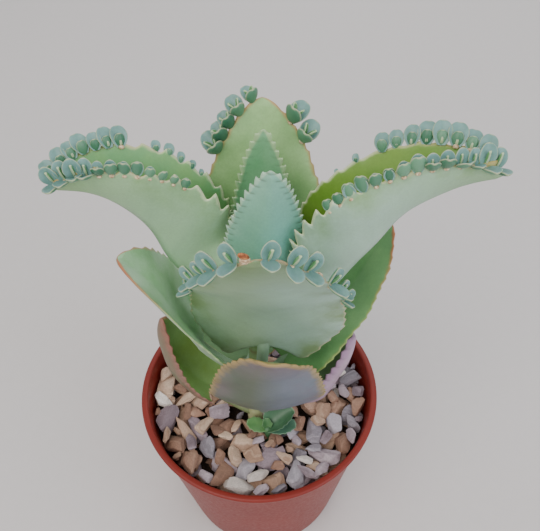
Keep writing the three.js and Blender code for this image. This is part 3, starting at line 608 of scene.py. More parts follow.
def add_blade(shape, leaf, draw):
    pitch, depth, hook = leaf.tooth
    rows = int(leaf.length * 1.1 / pitch) * TOOTH_ROWS
    s = np.linspace(0, 1, rows + 1)[:-1] ** 0.93
    shares = np.concatenate([-SHARES[:0:-1], SHARES])
    half = leaf.half_at(s)
    corner = 1 - np.clip(s / BASE_ROUND, 0, 1)
    half = half * mix(0.66, 1, np.sqrt(1 - corner ** 2))
    across = half[:, None] * shares
    middle = leaf.blade(s[:, None], across)
    forward = unit(np.gradient(middle, axis=0))
    sideways = unit(np.gradient(middle, axis=1))
    face = unit(np.cross(forward, sideways))
    # Teeth: the outer eighth of the blade is drawn out along the margin.
    turns = s * leaf.length * 1.06 / pitch
    ends = ease(s / 0.05) * ease((1 - s) / 0.03)
    jag = tooth_height(turns) * ends * (0.8 + 0.4 * np.array([draw.random() for _ in s])[
        (turns.astype(int)).clip(0, rows - 1)])
    pull = ease((np.abs(shares) - 0.88) / 0.12) * np.where(shares > 0, *leaf.tooth_sides)
    outward = sideways * np.sign(shares)[:, None]
    shift = (outward * depth + forward * (hook * jag)[:, None, None]) * (
        jag[:, None] * pull)[..., None]
    # The blade is never quite flat: slow waves across and along it.
    phase = [draw.uniform(0, 2 * math.pi) for _ in range(4)]
    out = s[:, None] * leaf.length
    waves = (0.32 * np.sin(out / 7.5 + across / 11 + phase[0])
             + 0.26 * np.sin(out / 4.6 - across / 6 + phase[1])
             + 0.45 * np.sin(out / 3.4 + phase[2]) * np.abs(shares) ** 3
             * np.sign(shares + 1e-9))
    middle = middle + shift + face * waves[..., None]
    thick = mix(MIDRIB_HALF, MARGIN_HALF, np.abs(shares) ** 1.4)
    thick = thick * np.sqrt(1 - np.clip((np.abs(shares) - 0.9) / 0.1, 0, 1) ** 2)
    base = np.sqrt(1 - (1 - np.clip(s / 0.025, 0, 1)) ** 2)[:, None]
    tip = np.sqrt(np.clip((1 - s) / 0.03, 0, 1))[:, None]
    thick = thick * base * tip
    groove = np.exp(-(across / 1.6) ** 2) * (1 - s[:, None]) * base
    upper = middle + face * (thick - 0.5 * groove)[..., None]
    lower = middle - face * (thick + 0.45 * groove)[..., None]
    columns = len(shares)
    top = np.arange(rows * columns).reshape(rows, columns)
    bottom = top + rows * columns
    bottom[:, 0], bottom[:, -1], bottom[0] = top[:, 0], top[:, -1], top[0]
    apex = 2 * rows * columns
    faces = []
    for skin, turn in ((top, -1), (bottom, 1)):
        faces += skin_faces(skin, turn)
        faces += [(skin[-1, j], apex, skin[-1, j + 1])[::turn] for j in range(columns - 1)]
    corners = np.concatenate([upper.reshape(-1, 3), lower.reshape(-1, 3),
                              leaf.blade(1.0, 0.0).reshape(1, 3)])
    from_edge = np.minimum(half[:, None] - np.abs(across), out + 4)

    def both(grid, last):
        return np.concatenate([grid.ravel(), grid.ravel(), [last]])

    under = np.concatenate([np.zeros(rows * columns), np.ones(rows * columns), [0.5]])
    edge = np.broadcast_to(np.abs(shares) == 1, (rows, columns)).ravel()
    under[:rows * columns][edge] = 0.5
    shape.add(corners, faces, SKIN, under=under, from_edge=both(from_edge, 0),
              across=both(np.abs(across), 0), left=both(across / half[:, None], 0),
              out=both(out + 0 * across, leaf.length),
              notch=both((1 - tooth_height(turns))[:, None] ** 6 + 0 * across, 0))


def add_stalk(shape, leaf):
    """The stalk grows out of the stem and flattens into the blade's underside."""
    x = np.linspace(0, leaf.stalk + RIB, 26)
    point, along, side, face = leaf.line(x)
    after = np.clip((x - leaf.stalk) / RIB, 0, 1)
    before = np.clip(x / leaf.stalk, 0, 1)
    wide = STALK_HALF_WIDTH * mix(1.15, 0.9, ease(before * 1.4)) * (1 + 0.3 * after)
    high = STALK_HALF_HEIGHT * mix(1.15, 1.0, before) * (1 - 0.95 * after)
    sunk = -MIDRIB_HALF * mix(0.1, 0.6, before) * (1 - after)
    turn = np.linspace(0, 2 * np.pi, STALK_SIDES, endpoint=False)
    ring = (side[:, None] * (np.cos(turn) * wide[:, None])[..., None]
            + face[:, None] * (np.sin(turn) * high[:, None])[..., None])
    corners = point[:, None] + ring + face[:, None] * sunk[:, None, None]
    shape.add(corners, tube_faces(len(x), STALK_SIDES), SKIN,
              under=0.75, from_edge=20, across=0, left=0, out=0, notch=0)


# ---- Plantlets ----------------------------------------------------------------------


def spoon(length, width, thick, cup, curl, columns=11, rows=14):
    """A small spoon-shaped leaf along +X with its bowl towards +Z."""
    u = 1 - (1 - np.linspace(0, 1, rows)) ** 1.5
    v = np.linspace(-1, 1, columns)
    wide = (width / 2) * np.where(
        u < 0.5, mix(0.42, 1, np.sin(np.pi * np.clip(u, 0, 0.5))),
        np.sqrt(np.clip(1 - ((u - 0.5) / 0.5) ** 2, 0, 1)))
    share = np.sin(v * np.pi / 2)[None]
    y = wide[:, None] * share
    z = cup * wide[:, None] * share ** 2 + curl * length * u[:, None] ** 2.2
    middle = np.stack([length * u[:, None] + 0 * y, y, z], axis=-1)
    body = (thick / 2) * np.sqrt(np.clip(1 - share ** 4, 0, 1)) * np.sqrt(
        np.clip(1 - u[:, None] ** 8, 0, 1)) * mix(0.7, 1, ease(u[:, None] * 3))
    upper = middle + body[..., None] * [0, 0, 1]
    lower = middle - body[..., None] * [0, 0, 1]
    top = np.arange(rows * columns).reshape(rows, columns)
    bottom = top + rows * columns
    bottom[:, 0], bottom[:, -1], bottom[-1] = top[:, 0], top[:, -1], top[-1]
    faces = skin_faces(top, 1) + skin_faces(bottom, -1)
    corners = np.concatenate([upper.reshape(-1, 3), lower.reshape(-1, 3)])
    rim = np.maximum(np.abs(share) + 0 * u[:, None], ease((u[:, None] - 0.7) / 0.3) + 0 * share)
    bowl = np.concatenate([np.ones(rows * columns), np.zeros(rows * columns)])
    return corners, faces, np.concatenate([rim.ravel(), rim.ravel()]), bowl


def lay(corners, root, direction, width):
    """Turns corners so that +X runs along direction and +Y along width."""
    direction = unit(direction)
    width = unit(width - direction * direction.dot(width))
    return root + corners @ np.array([direction, width, np.cross(direction, width)])


def ball(root, radii, axes, rows=6, sides=9):
    polar = np.linspace(0.02, np.pi - 0.02, rows)[:, None]
    turn = np.linspace(0, 2 * np.pi, sides, endpoint=False)
    corners = np.stack([np.sin(polar) * np.cos(turn) * radii[0],
                        np.sin(polar) * np.sin(turn) * radii[1],
                        np.cos(polar) * radii[2] + 0 * turn], axis=-1)
    return root + corners.reshape(-1, 3) @ np.array(axes), tube_faces(rows, sides)


LEAFLET_LENGTH, LEAFLET_WIDTH, LEAFLET_THICK, LEAFLET_CUP = 7.4, 5.9, 1.15, 0.42
ROOTED = 0.4  # how far inside the leaf's edge a plantlet starts
SCAR_RADII, DRY_TIP_RADII = (1.9, 1.7, 1.3), (1.3, 2.6, 0.9)
# For the back leaflet and then the front one: how far it leans away from its partner in
# degrees, its share of the size, and the curl of its tip back to its partner. Then the
# inner pair's length, width and lean.
STANCES = {
    "shut": ((12, 0.92, 0.14), (24, 1.0, 0.26), (0.4, 0.2, 4)),
    "bowl": ((38, 1.0, 0.03), (8, 0.62, 0.22), (0.3, 0.2, 4)),
    "saucer": ((18, 1.0, 0.03), (72, 1.0, 0.18), (0.74, 0.26, 5)),
    "rosette": ((40, 1.0, 0.05), (42, 1.0, 0.16), (0.8, 0.5, 22)),
}


def add_plantlet(shape, leaf, hand, s, size, stance, draw):
    edge, forward, outward, face = leaf.margin(s, hand)
    stand = unit(outward + np.array([0, 0, 1.0]))
    width = unit(forward - stand * stand.dot(forward))
    cross = unit(face - stand * stand.dot(face) - width * width.dot(face))
    swing = draw.uniform(-0.25, 0.25)
    width, cross = (width * math.cos(swing) + cross * math.sin(swing),
                    cross * math.cos(swing) - width * math.sin(swing))
    front = cross if cross[1] < 0 else -cross
    root = edge - outward * ROOTED
    tone = draw.random()
    inner_size, inner_width, part = stance[2]
    for away, (lean, share, curl) in zip((-1, 1), stance):
        angle = math.radians(lean + draw.uniform(-8, 8))
        direction = stand * math.cos(angle) + front * away * math.sin(angle)
        scale = size * share * draw.uniform(0.94, 1.06)
        corners, faces, rim, bowl = spoon(
            LEAFLET_LENGTH * scale, LEAFLET_WIDTH * scale, LEAFLET_THICK * scale ** 0.5,
            LEAFLET_CUP, curl)
        # The bowl of each leaflet is turned to its partner.
        bowl_side = stand * math.sin(angle) - front * away * math.cos(angle)
        shape.add(lay(corners, root, direction, np.cross(bowl_side, direction)), faces, LEAFLET,
                  rim=rim, bowl=bowl, tone=tone)
    # The smallest plantlets have no inner pair yet.
    if size > 0.5:
        for turn in (-1, 1):
            direction = unit(stand + width * turn * math.tan(math.radians(part)))
            scale = size * inner_size
            corners, faces, rim, bowl = spoon(
                LEAFLET_LENGTH * scale, LEAFLET_WIDTH * size * inner_width, 0.85, 0.5, 0.05,
                7, 8)
            bowl_side = stand * 0.3 - width * turn
            shape.add(lay(corners, root + stand * 0.6, direction,
                          np.cross(bowl_side, direction)), faces, BUD, rim=rim)
    nub = 0.85 * size ** 0.5
    # Most root nubs sit on the leaf's underside.
    side = -face if draw.random() < 0.85 else face
    corners, faces = ball(edge - outward * 0.2 + side * 0.75, (1.25 * nub, 0.95 * nub, nub),
                          (forward, outward, face))
    shape.add(corners, faces, NUB)


def make_leaf(spec, seed):
    leaf = Leaf(spec)
    draw = random.Random(seed)
    shape = Shape()
    add_blade(shape, leaf, draw)
    add_stalk(shape, leaf)
    for hand, first, last, count, first_size, last_size, young, old in leaf.plantlets:
        for i in range(count):
            t = i / (count - 1)
            size = mix(first_size, last_size, t) * draw.uniform(0.87, 1.12)
            stance = mix(np.array(STANCES[young]), np.array(STANCES[old]), ease(t * 2 - 0.8))
            add_plantlet(shape, leaf, hand, mix(first, last, t), size, stance, draw)
    for hand, s in leaf.scars:
        edge, *axes = leaf.margin(s, hand)
        corners, faces = ball(edge, SCAR_RADII, axes, 9, 14)
        shape.add(corners, faces, NUB)
    if leaf.dry_tip:
        edge, *axes = leaf.margin(0.992, -1)
        corners, faces = ball(edge + axes[1] * 1.2 + [0, 0, 1.2], DRY_TIP_RADII, axes, 9, 14)
        shape.add(corners, faces, DRY)
    piece = shape.build(f"{leaf.name}_leaf", [
        leaf_finish(leaf.name, leaf.length), leaflet, bud, root_nub, dry_tip])
    settle(piece, f"leaf_{leaf.name}")


leaflet, bud = leaflet_finish(), bud_finish()
root_nub, dry_tip = root_finish(), dry_tip_finish()
FIRST_SEED = 11
for order, spec in enumerate(LEAVES):
    make_leaf(spec, FIRST_SEED + order)

# ---- Stem ---------------------------------------------------------------------------

STEM_FOOT, STEM_TOP, STEM_BUD = 58, 152, 159
STEM_RADIUS_FOOT, STEM_RADIUS_TOP = 5.2, 3.7
STEM_SIDES = 28
LEAF_PAIRS = (92, 103, 115, 127, 141, 148)
RING_BELOW, RING_HALF = 3.4, 0.7  # how far below each pair its ring is, and half its height


def stem_radius(z):
    plain = np.interp(z, [STEM_FOOT, STEM_TOP], [STEM_RADIUS_FOOT, STEM_RADIUS_TOP])
    below_bud = np.clip((STEM_BUD - z) / (STEM_BUD - STEM_TOP), 0.02, 1)
    return np.where(z > STEM_TOP, plain * np.sqrt(below_bud), plain)


def stem_finish():
    """Succulent stem, grown: smooth pale green skin, creamier towards the soil, ringed with
    brown where older leaves stood."""
    material, place = finished(
        "fleshy_stem", Roughness=0.5, IOR=1.45, Subsurface_Weight=0.1,
        Subsurface_Radius=(0.6, 1.0, 0.4), Subsurface_Scale=0.001)
    height = add(material, "SeparateXYZ", {"Vector": place}, gives="Z")
    climb = add(material, "MapRange", {"Value": height, "From Min": 0.088, "From Max": 0.14})
    patches = add(material, "TexNoise", {"Vector": place, "Scale": per_mm(4), "Detail": 3.0})
    low = add(material, "MixRGB", {"Fac": patches, "Color1": "#979c70", "Color2": "#bdbd90"})
    green = add(material, "MixRGB", {"Fac": climb, "Color1": low, "Color2": "#7f9d68"})
    scar = add(material, "Attribute", attribute_name="scar", gives="Fac")
    colour = add(material, "MixRGB", {"Fac": scar, "Color1": green, "Color2": "#7d6046"})
    relief = add(material, "Bump", {"Height": patches, "Strength": 0.3, "Distance": 0.0006})
    dress(material, Base_Color=colour, Normal=relief)
    return material


def make_stem():
    z = np.concatenate([np.linspace(STEM_FOOT, STEM_TOP, 95),
                        np.linspace(STEM_TOP + 0.6, STEM_BUD - 0.2, 8)])
    ring = np.zeros(len(z))
    for level in LEAF_PAIRS:
        ring = np.maximum(ring, np.exp(-((z - level + RING_BELOW) / RING_HALF) ** 2))
    radius = stem_radius(z) - 0.35 + 0.3 * ring
    turn = np.linspace(0, 2 * np.pi, STEM_SIDES, endpoint=False)
    around = np.stack([np.cos(turn), np.sin(turn), 0 * turn], axis=-1)
    swell = 1 + 0.03 * np.sin(2 * turn + 1) + 0.02 * np.sin(5 * turn)
    corners = stem_axis(z)[:, None] + around * (radius[:, None] * swell)[..., None]
    shape = Shape()
    shape.add(corners, tube_faces(len(z), STEM_SIDES), scar=np.repeat(ring * 0.7, STEM_SIDES))
    settle(shape.build("fleshy_main_stem", [stem_finish()]), "main_stem")


make_stem()

# ---- Young plant rooted in the stones -----------------------------------------------

OFFSET_X, OFFSET_Y, OFFSET_FOOT, OFFSET_TOP, OFFSET_RADIUS = 4, -21, 78, 95, 1.6
# Heading and rise in degrees, length and half width in mm, how far the leaf is folded
# along its midrib, and its tone from 0, vivid green, to 1, dark green.
OFFSET_LEAVES = ((163, 10, 11, 3.8, 0.25, 0.0), (25, 25, 16.5, 7.2, 1.0, 0.8),
                 (6, 6, 14.5, 4.4, 0.2, 1.0), (100, 50, 6, 2.4, 0.8, 0.3))
TEETH_APART, TEETH_DEEP = 2.6, 0.45


def offset_finish():
    """Seedling leaf: fleshy, green above and blue-grey under its bloom below, with a pale
    toothed rim."""
    material, place = finished(
        "seedling_leaf", Roughness=0.4, IOR=1.45, Subsurface_Weight=0.12,
        Subsurface_Radius=(0.6, 1.0, 0.35), Subsurface_Scale=0.0008)
    measure = {key: add(material, "Attribute", attribute_name=key, gives="Fac")
               for key in ("rim", "tone", "bowl")}
    clouds = add(material, "TexNoise", {"Vector": place, "Scale": per_mm(3), "Detail": 3.0})
    vivid = add(material, "MixRGB", {"Fac": clouds, "Color1": "#41703f", "Color2": "#6c9a5c"})
    dark = add(material, "MixRGB", {"Fac": clouds, "Color1": "#345a43", "Color2": "#557a63"})
    above = add(material, "MixRGB", {"Fac": measure["tone"], "Color1": vivid, "Color2": dark})
    below = add(material, "MixRGB", {"Fac": clouds, "Color1": "#4f7a74", "Color2": "#7f9fa2"})
    skin = add(material, "MixRGB", {"Fac": measure["bowl"], "Color1": below, "Color2": above})
    lip = add(material, "MapRange", {
        "Value": measure["rim"], "From Min": 0.92, "From Max": 1.0, "To Max": 0.45})
    colour = add(material, "MixRGB", {"Fac": lip, "Color1": skin, "Color2": "#9fc09a"})
    dress(material, Base_Color=colour)
    return material


def crenate(corners, rim, length):
    """Gives the edge of a small leaf, but for its base, blunt teeth."""
    wave = np.maximum(np.sin(corners[:, 0] * 2 * np.pi / TEETH_APART), 0) * TEETH_DEEP
    hold = ease((rim - 0.75) / 0.25) * ease(corners[:, 0] / length * 3 - 0.6)
    corners = corners.copy()
    corners[:, 1] += np.sign(corners[:, 1]) * wave * hold
    return corners


def make_offset():
    shape = Shape()
    middle = np.array([OFFSET_X, OFFSET_Y, 0.0])
    stem = [(OFFSET_RADIUS, z) for z in np.linspace(OFFSET_FOOT, OFFSET_TOP, 12)]
    corners, faces = turned(stem, 14)
    shape.add(corners + middle, faces, rim=0, tone=0.6, bowl=1)
    root = middle + [0, 0, OFFSET_TOP - 1.5]
    for heading, rise, length, half_width, fold, tone in OFFSET_LEAVES:
        turn, climb = math.radians(heading), math.radians(rise)
        direction = np.array([math.cos(climb) * math.cos(turn),
                              math.cos(climb) * math.sin(turn), math.sin(climb)])
        corners, faces, rim, bowl = spoon(length, 2 * half_width, 1.2, fold, 0.04, 17, 34)
        width = np.cross([0, 0, 1], direction)
        shape.add(lay(crenate(corners, rim, length), root, direction, width), faces,
                  rim=rim, tone=tone, bowl=bowl)
    settle(shape.build("rooted_seedling", [offset_finish()]), "rooted_offset")


make_offset()

# ---- Pot ----------------------------------------------------------------------------

POT_HEIGHT, POT_RIM, POT_LIP, POT_BASE, POT_WALL, POT_FLOOR = 100, 60, 3.4, 44.6, 1.8, 2.6
POT_LIP_DEPTH, POT_OVERHANG, POT_ROUND = 3.2, 1.6, 1.2
POT_SIDES = 192
DRAINS, DRAIN_RADIUS, DRAIN_RING = 6, 2.6, 27
NEAR_AXIS = 0.02  # a turned profile ends just off the axis, where one face closes it


def pot_outer(z):
    return POT_BASE + (POT_RIM - POT_OVERHANG - POT_BASE) / POT_HEIGHT * z


def pot_finish():
    """Polypropylene, moulded: a terracotta colour all through, so it is even, with a satin
    gloss, faint clouds from the flow in the mould and a few specks of dust."""
    material, place = finished(
        "moulded_polypropylene", Roughness=0.4, IOR=1.49, Specular_IOR_Level=0.35)
    clouds = add(material, "TexNoise", {"Vector": place, "Scale": per_mm(30), "Detail": 3.0})
    colour = add(material, "MixRGB", {"Fac": clouds, "Color1": "#6f1f17", "Color2": "#82281d"})
    specks = add(material, "TexNoise", {"Vector": place, "Scale": per_mm(1.4), "Detail": 3.0})
    speck = add(material, "MapRange", {
        "Value": specks, "From Min": 0.68, "From Max": 0.82, "To Max": 0.06})
    dusted = add(material, "MixRGB", {"Fac": speck, "Color1": colour, "Color2": "#a98a78"})
    gloss = add(material, "MapRange", {
        "Value": specks, "From Min": 0.3, "From Max": 0.75, "To Min": 0.36, "To Max": 0.5})
    relief = add(material, "Bump", {"Height": clouds, "Strength": 0.3, "Distance": 0.0008})
    dress(material, Base_Color=dusted, Roughness=gloss, Normal=relief)
    return material


def make_pot():
    lip_bottom = POT_HEIGHT - POT_LIP_DEPTH
    inside = POT_RIM - POT_LIP
    profile = [(NEAR_AXIS, 0.0), (POT_BASE - 6, 0.0), (POT_BASE - 5, 0.0)]
    turn = np.linspace(-np.pi / 2, 0, 6)
    profile += [(POT_BASE - POT_ROUND + POT_ROUND * math.cos(a),
                 POT_ROUND + POT_ROUND * math.sin(a)) for a in turn]
    profile += [(float(pot_outer(z)), float(z)) for z in np.linspace(6, lip_bottom - 0.6, 14)]
    profile += [(float(pot_outer(lip_bottom)), lip_bottom)]
    # The lip: a short step out, a round outer edge, a flat top and a round inner edge.
    profile += [(POT_RIM - 0.7, lip_bottom + 0.25), (POT_RIM - 0.2, lip_bottom + 0.7)]
    for a in np.linspace(0, np.pi / 2, 6):
        profile.append((POT_RIM - POT_ROUND + POT_ROUND * math.cos(a),
                        POT_HEIGHT - POT_ROUND + POT_ROUND * math.sin(a)))
    for a in np.linspace(np.pi / 2, np.pi, 6):
        profile.append((inside + POT_ROUND + POT_ROUND * math.cos(a),
                        POT_HEIGHT - POT_ROUND + POT_ROUND * math.sin(a)))
    profile += [(float(pot_outer(z)) - POT_WALL, float(z))
                for z in np.linspace(lip_bottom, POT_FLOOR + 1.5, 16)]
    profile += [(float(pot_outer(POT_FLOOR)) - POT_WALL - 1.2, POT_FLOOR + 0.2),
                (float(pot_outer(POT_FLOOR)) - POT_WALL - 4, POT_FLOOR), (NEAR_AXIS, POT_FLOOR)]
    shape = Shape()
    shape.add(*turned(profile, POT_SIDES))
    pot = shape.build("moulded_pot", [pot_finish()])
    holes = Shape()
    for i in range(DRAINS):
        angle = i * 2 * math.pi / DRAINS
        corners, faces = turned([(DRAIN_RADIUS, -3), (DRAIN_RADIUS, 6)], 24)
        middle = [DRAIN_RING * math.cos(angle), DRAIN_RING * math.sin(angle), 0]
        holes.add(corners + middle, faces)
    cutter = holes.build("drain_holes", [])
    cut = pot.modifiers.new("drain", "BOOLEAN")
    cut.object = cutter
    cut.operation = "DIFFERENCE"
    cut.solver = "EXACT"
    graph = bpy.context.evaluated_depsgraph_get()
    mesh = bpy.data.meshes.new_from_object(pot.evaluated_get(graph))
    pot.modifiers.clear()
    pot.data = mesh
    bpy.data.objects.remove(cutter)
    settle(pot, "pot")


make_pot()

# ---- Soil ---------------------------------------------------------------------------

SOIL_TOP = 82
CLEARANCE = 0.3  # kept from the pot's inner wall
SOIL_SIDES, SOIL_WALL_RINGS, SOIL_SEED = 96, 12, 5


def soil_finish():
    """Peat potting mix: dark, damp and crumbly, with lighter crumbs where it has dried."""
    material, place = finished("peat_mix", Roughness=0.95, IOR=1.4)
    crumbs = add(material, "TexNoise", {
        "Vector": place, "Scale": per_mm(2.5), "Detail": 6.0, "Roughness": 0.7})
    colour = add(material, "ValToRGB", {"Fac": crumbs}, stops=[
        (0.3, "#1d1510"), (0.55, "#35271d"), (0.75, "#5d4836")])
    relief = add(material, "Bump", {"Height": crumbs, "Strength": 0.9, "Distance": 0.0015})
    dress(material, Base_Color=colour, Normal=relief)
    return material


def make_soil():
    draw = random.Random(SOIL_SEED)
    waves = [(draw.uniform(0.25, 1.4), draw.uniform(0, 6.28), draw.uniform(0, 6.28))
             for _ in range(14)]
    bottom = POT_FLOOR + CLEARANCE
    profile = [(NEAR_AXIS, bottom)] + [
        (float(pot_outer(z)) - POT_WALL - CLEARANCE, float(z))
        for z in np.linspace(bottom, SOIL_TOP, SOIL_WALL_RINGS)]
    profile += [(r, SOIL_TOP) for r in np.linspace(profile[-1][0] - 0.8, NEAR_AXIS, 40)]
    corners, faces = turned(profile, SOIL_SIDES)
    x, y = corners[..., 0], corners[..., 1]
    lumps = sum(np.sin(k * (x * math.cos(a) + y * math.sin(a)) + p) / (3 + 4 * k)
                for k, a, p in waves)
    # The top is level where it meets the wall and lumpy inside that.
    top = np.arange(len(profile)) > SOIL_WALL_RINGS + 1
    corners[..., 2] += np.where(top[:, None], np.clip(lumps, -1.2, 1.2) * 0.35 - 0.2, 0)
    shape = Shape()
    shape.add(corners, faces)
    settle(shape.build("crumbly_soil", [soil_finish()]), "potting_soil")


make_soil()

# ---- Gravel -------------------------------------------------------------------------

STONE_TOP = 93
EDGE_TOP, EDGE_START, EDGE_WIDTH = 96, 38, 14  # they lie higher against the wall
BURIED = 87  # a stone whose top is lower than this is hardly seen
WALL_GAP = 0.2  # left between a stone and the pot's wall
LEAF_GAP = 0.4  # left under the leaves and stalks
SETTLED = 0.6  # how far a stone sinks in between those under it
TRIES = 30  # places that are tried for each stone
CELL, GRID = 0.5, 240  # the height of the bed is kept for a square grid of cells
BLOCKED = 200  # the height of the cells where a stem stands
BED_WIDTH = 110  # over which the mix of rocks changes from left to right
GRAVEL_SEED = 23
# Shortest and longest chips in mm of each scoop that is spread, how many it holds, and how
# far below the top it has to stay, so that the small ones only fill the hollows.
SCOOPS = ((10, 15.5, 340, 0), (7, 11, 560, 0.3), (5, 8, 800, 1.9))
AIMED = 0.2  # share of the smaller chips that are dropped in front of the seedling
AIMED_REACH = (3.2, 7)  # how near and how far from its stem
# Name, share of the stones on the left and on the right, and the colours of the rock.
STONE_KINDS = (
    ("tan_sandstone", 0.44, 0.12, ("#745a47", "#a5856f", "#cdb49d")),
    ("brown_sandstone", 0.4, 0.1, ("#664c3d", "#8f6d5a", "#b6937d")),
    ("pinkish_sandstone", 0.12, 0.5, ("#6a5b60", "#93838b", "#beafb6")),
    ("grey_slate", 0.02, 0.25, ("#666067", "#8d868e", "#b2abb3")),
    ("pale_quartz", 0.02, 0.03, ("#a89c94", "#cfc5bd", "#e9e2db")),
)


def stone_finish(name, colours):
    """Crushed rock, sieved and washed: matt broken faces with layers about 2 mm thick,
    mineral grains, and each chip different in tone."""
    material, place = finished(name, Roughness=0.8, IOR=1.5)
    tone = add(material, "Attribute", attribute_name="tone", gives="Fac")
    bed = add(material, "Attribute", attribute_name="bed", gives="Fac")
    # The layers follow each chip's own bedding and wander a little along it.
    wander = add(material, "TexNoise", {"Vector": place, "Scale": per_mm(7), "Detail": 2.0})
    depth = add(material, "Math", {0: wander, 1: 4.0, 2: bed}, operation="MULTIPLY_ADD")
    layers = add(material, "TexNoise", {
        "W": depth, "Scale": 0.45, "Detail": 4.0, "Roughness": 0.65}, noise_dimensions="1D")
    spread = add(material, "Math", {0: tone, 1: 0.5, 2: -0.1}, operation="MULTIPLY_ADD")
    shade = add(material, "Math", {0: layers, 1: 0.78, 2: spread}, operation="MULTIPLY_ADD")
    rock = add(material, "ValToRGB", {"Fac": shade}, stops=[
        (0.15, colours[0]), (0.5, colours[1]), (0.85, colours[2])])
    grains = add(material, "TexNoise", {
        "Vector": place, "Scale": per_mm(0.8), "Detail": 4.0, "Roughness": 0.7})
    grain = add(material, "MapRange", {
        "Value": grains, "From Min": 0.3, "From Max": 0.72, "To Min": 0.8, "To Max": 1.14})
    colour = add(material, "MixRGB", {
        "Fac": 1.0, "Color1": rock, "Color2": grain}, blend_type="MULTIPLY")
    fine = add(material, "Bump", {"Height": grains, "Strength": 0.5, "Distance": 0.0004})
    relief = add(material, "Bump", {
        "Height": layers, "Strength": 0.5, "Distance": 0.001, "Normal": fine})
    dress(material, Base_Color=colour, Normal=relief)
    return material


def ball_mesh(levels):
    mesh = bmesh.new()
    bmesh.ops.create_icosphere(mesh, subdivisions=levels, radius=1)
    corners = np.array([v.co[:] for v in mesh.verts])
    faces = [tuple(v.index for v in face.verts) for face in mesh.faces]
    mesh.free()
    return corners, faces


def stone_form(draw, length):
    """A chip's half sizes, the planes it broke along and the waves of its rough faces."""
    half = np.array([0.5, draw.uniform(0.23, 0.36), draw.uniform(0.15, 0.23)]) * length
    normals, reaches = [], []
    for axis in range(3):
        for hand in (-1, 1):
            normal = np.array([draw.gauss(0, 0.3) for _ in range(3)])
            normal[axis] += hand
            normals.append(normal / np.linalg.norm(normal))
            reaches.append(draw.uniform(0.8, 1.0))
    for _ in range(6):
        normal = np.array([draw.gauss(0, 1) for _ in range(3)])
        normals.append(normal / np.linalg.norm(normal))
        reaches.append(draw.uniform(0.62, 0.94))
    waves = [([draw.gauss(0, 4) for _ in range(3)], draw.uniform(0, 6.28)) for _ in range(6)]
    return half, np.array(normals), np.array(reaches), waves


def stone_corners(rays, form):
    """The planes meet in edges that are only a little worn."""
    half, normals, reaches, waves = form
    heights = np.maximum(rays @ normals.T, 0) / reaches
    worn = 40
    reach = (heights ** worn).sum(axis=1) ** (-1 / worn)
    rough = sum(np.sin(rays @ np.array(wave) + phase) for wave, phase in waves) * 0.01
    return rays * (reach * (1 + rough))[:, None] * half


def turn_matrix(tilt, pitch, heading):
    matrix = (Matrix.Rotation(heading, 3, "Z") @ Matrix.Rotation(pitch, 3, "Y")
              @ Matrix.Rotation(tilt, 3, "X"))
    return np.array(matrix)


def cell_of(x):
    return ((x + GRID * CELL / 2) / CELL).astype(int).clip(0, GRID - 1)


def cell_middles():
    line = (np.arange(GRID) + 0.5) * CELL - GRID * CELL / 2
    return np.meshgrid(line, line, indexing="ij")


def cells_around(column, row, reach):
    """The given cells, moved by each step up to reach cells along the grid."""
    for dx in range(-reach, reach + 1):
        for dy in range(-reach, reach + 1):
            yield (column + dx).clip(0, GRID - 1), (row + dy).clip(0, GRID - 1)


def keep_out():
    """The height that stones may reach in each cell under the leaves and stalks."""
    x, y = cell_middles()
    ceiling = mix(STONE_TOP, EDGE_TOP, ease((np.hypot(x, y) - EDGE_START) / EDGE_WIDTH))
    for piece in list(bpy.data.objects):
        if piece.get("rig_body") and piece.name.endswith(("_leaf", "_seedling")):
            corners = np.array([v.co[:] for v in piece.data.vertices]) / MM
            seedling = piece.name.endswith("_seedling")
            low = corners[(corners[:, 2] < STONE_TOP + 3)
                          & (corners[:, 2] > (OFFSET_TOP - 4 if seedling else 0))]
            for cells in cells_around(cell_of(low[:, 0]), cell_of(low[:, 1]), 3):
                np.minimum.at(ceiling, cells, low[:, 2] - LEAF_GAP)
    return ceiling


def find_place(ground, ceiling, corners, skin, aimed, draw):
    """The lowest of some places where the chip can lie on what is there already. Its fine
    skin has to stay clear of the pot's sloping wall at every height."""
    best = None
    wall = pot_outer(BURIED) - POT_WALL
    for _ in range(TRIES):
        angle = draw.uniform(math.pi, 2 * math.pi if aimed else 3 * math.pi)
        way = np.array([math.cos(angle), math.sin(angle), 0])
        if aimed:
            at = np.array([OFFSET_X, OFFSET_Y, 0]) + way * draw.uniform(*AIMED_REACH)
        else:
            # A chip that falls too far out comes to lie against the wall.
            at = way * min(POT_RIM * draw.random() ** 0.5,
                           wall - CLEARANCE - (skin @ way).max())
        moved = corners + at
        column, row = cell_of(moved[:, 0]), cell_of(moved[:, 1])
        lower = moved[:, 2] < 0.2 * corners[:, 2].max()
        rest = (ground[column, row] - moved[:, 2])[lower].max() - SETTLED
        if (moved[:, 2] + rest > ceiling[column, row]).any():
            continue
        room = pot_outer(skin[:, 2] + rest) - POT_WALL - WALL_GAP
        if (np.hypot(skin[:, 0] + at[0], skin[:, 1] + at[1]) > room).any():
            continue
        if best is None or rest < best[0]:
            best = rest, at, column, row
    return best


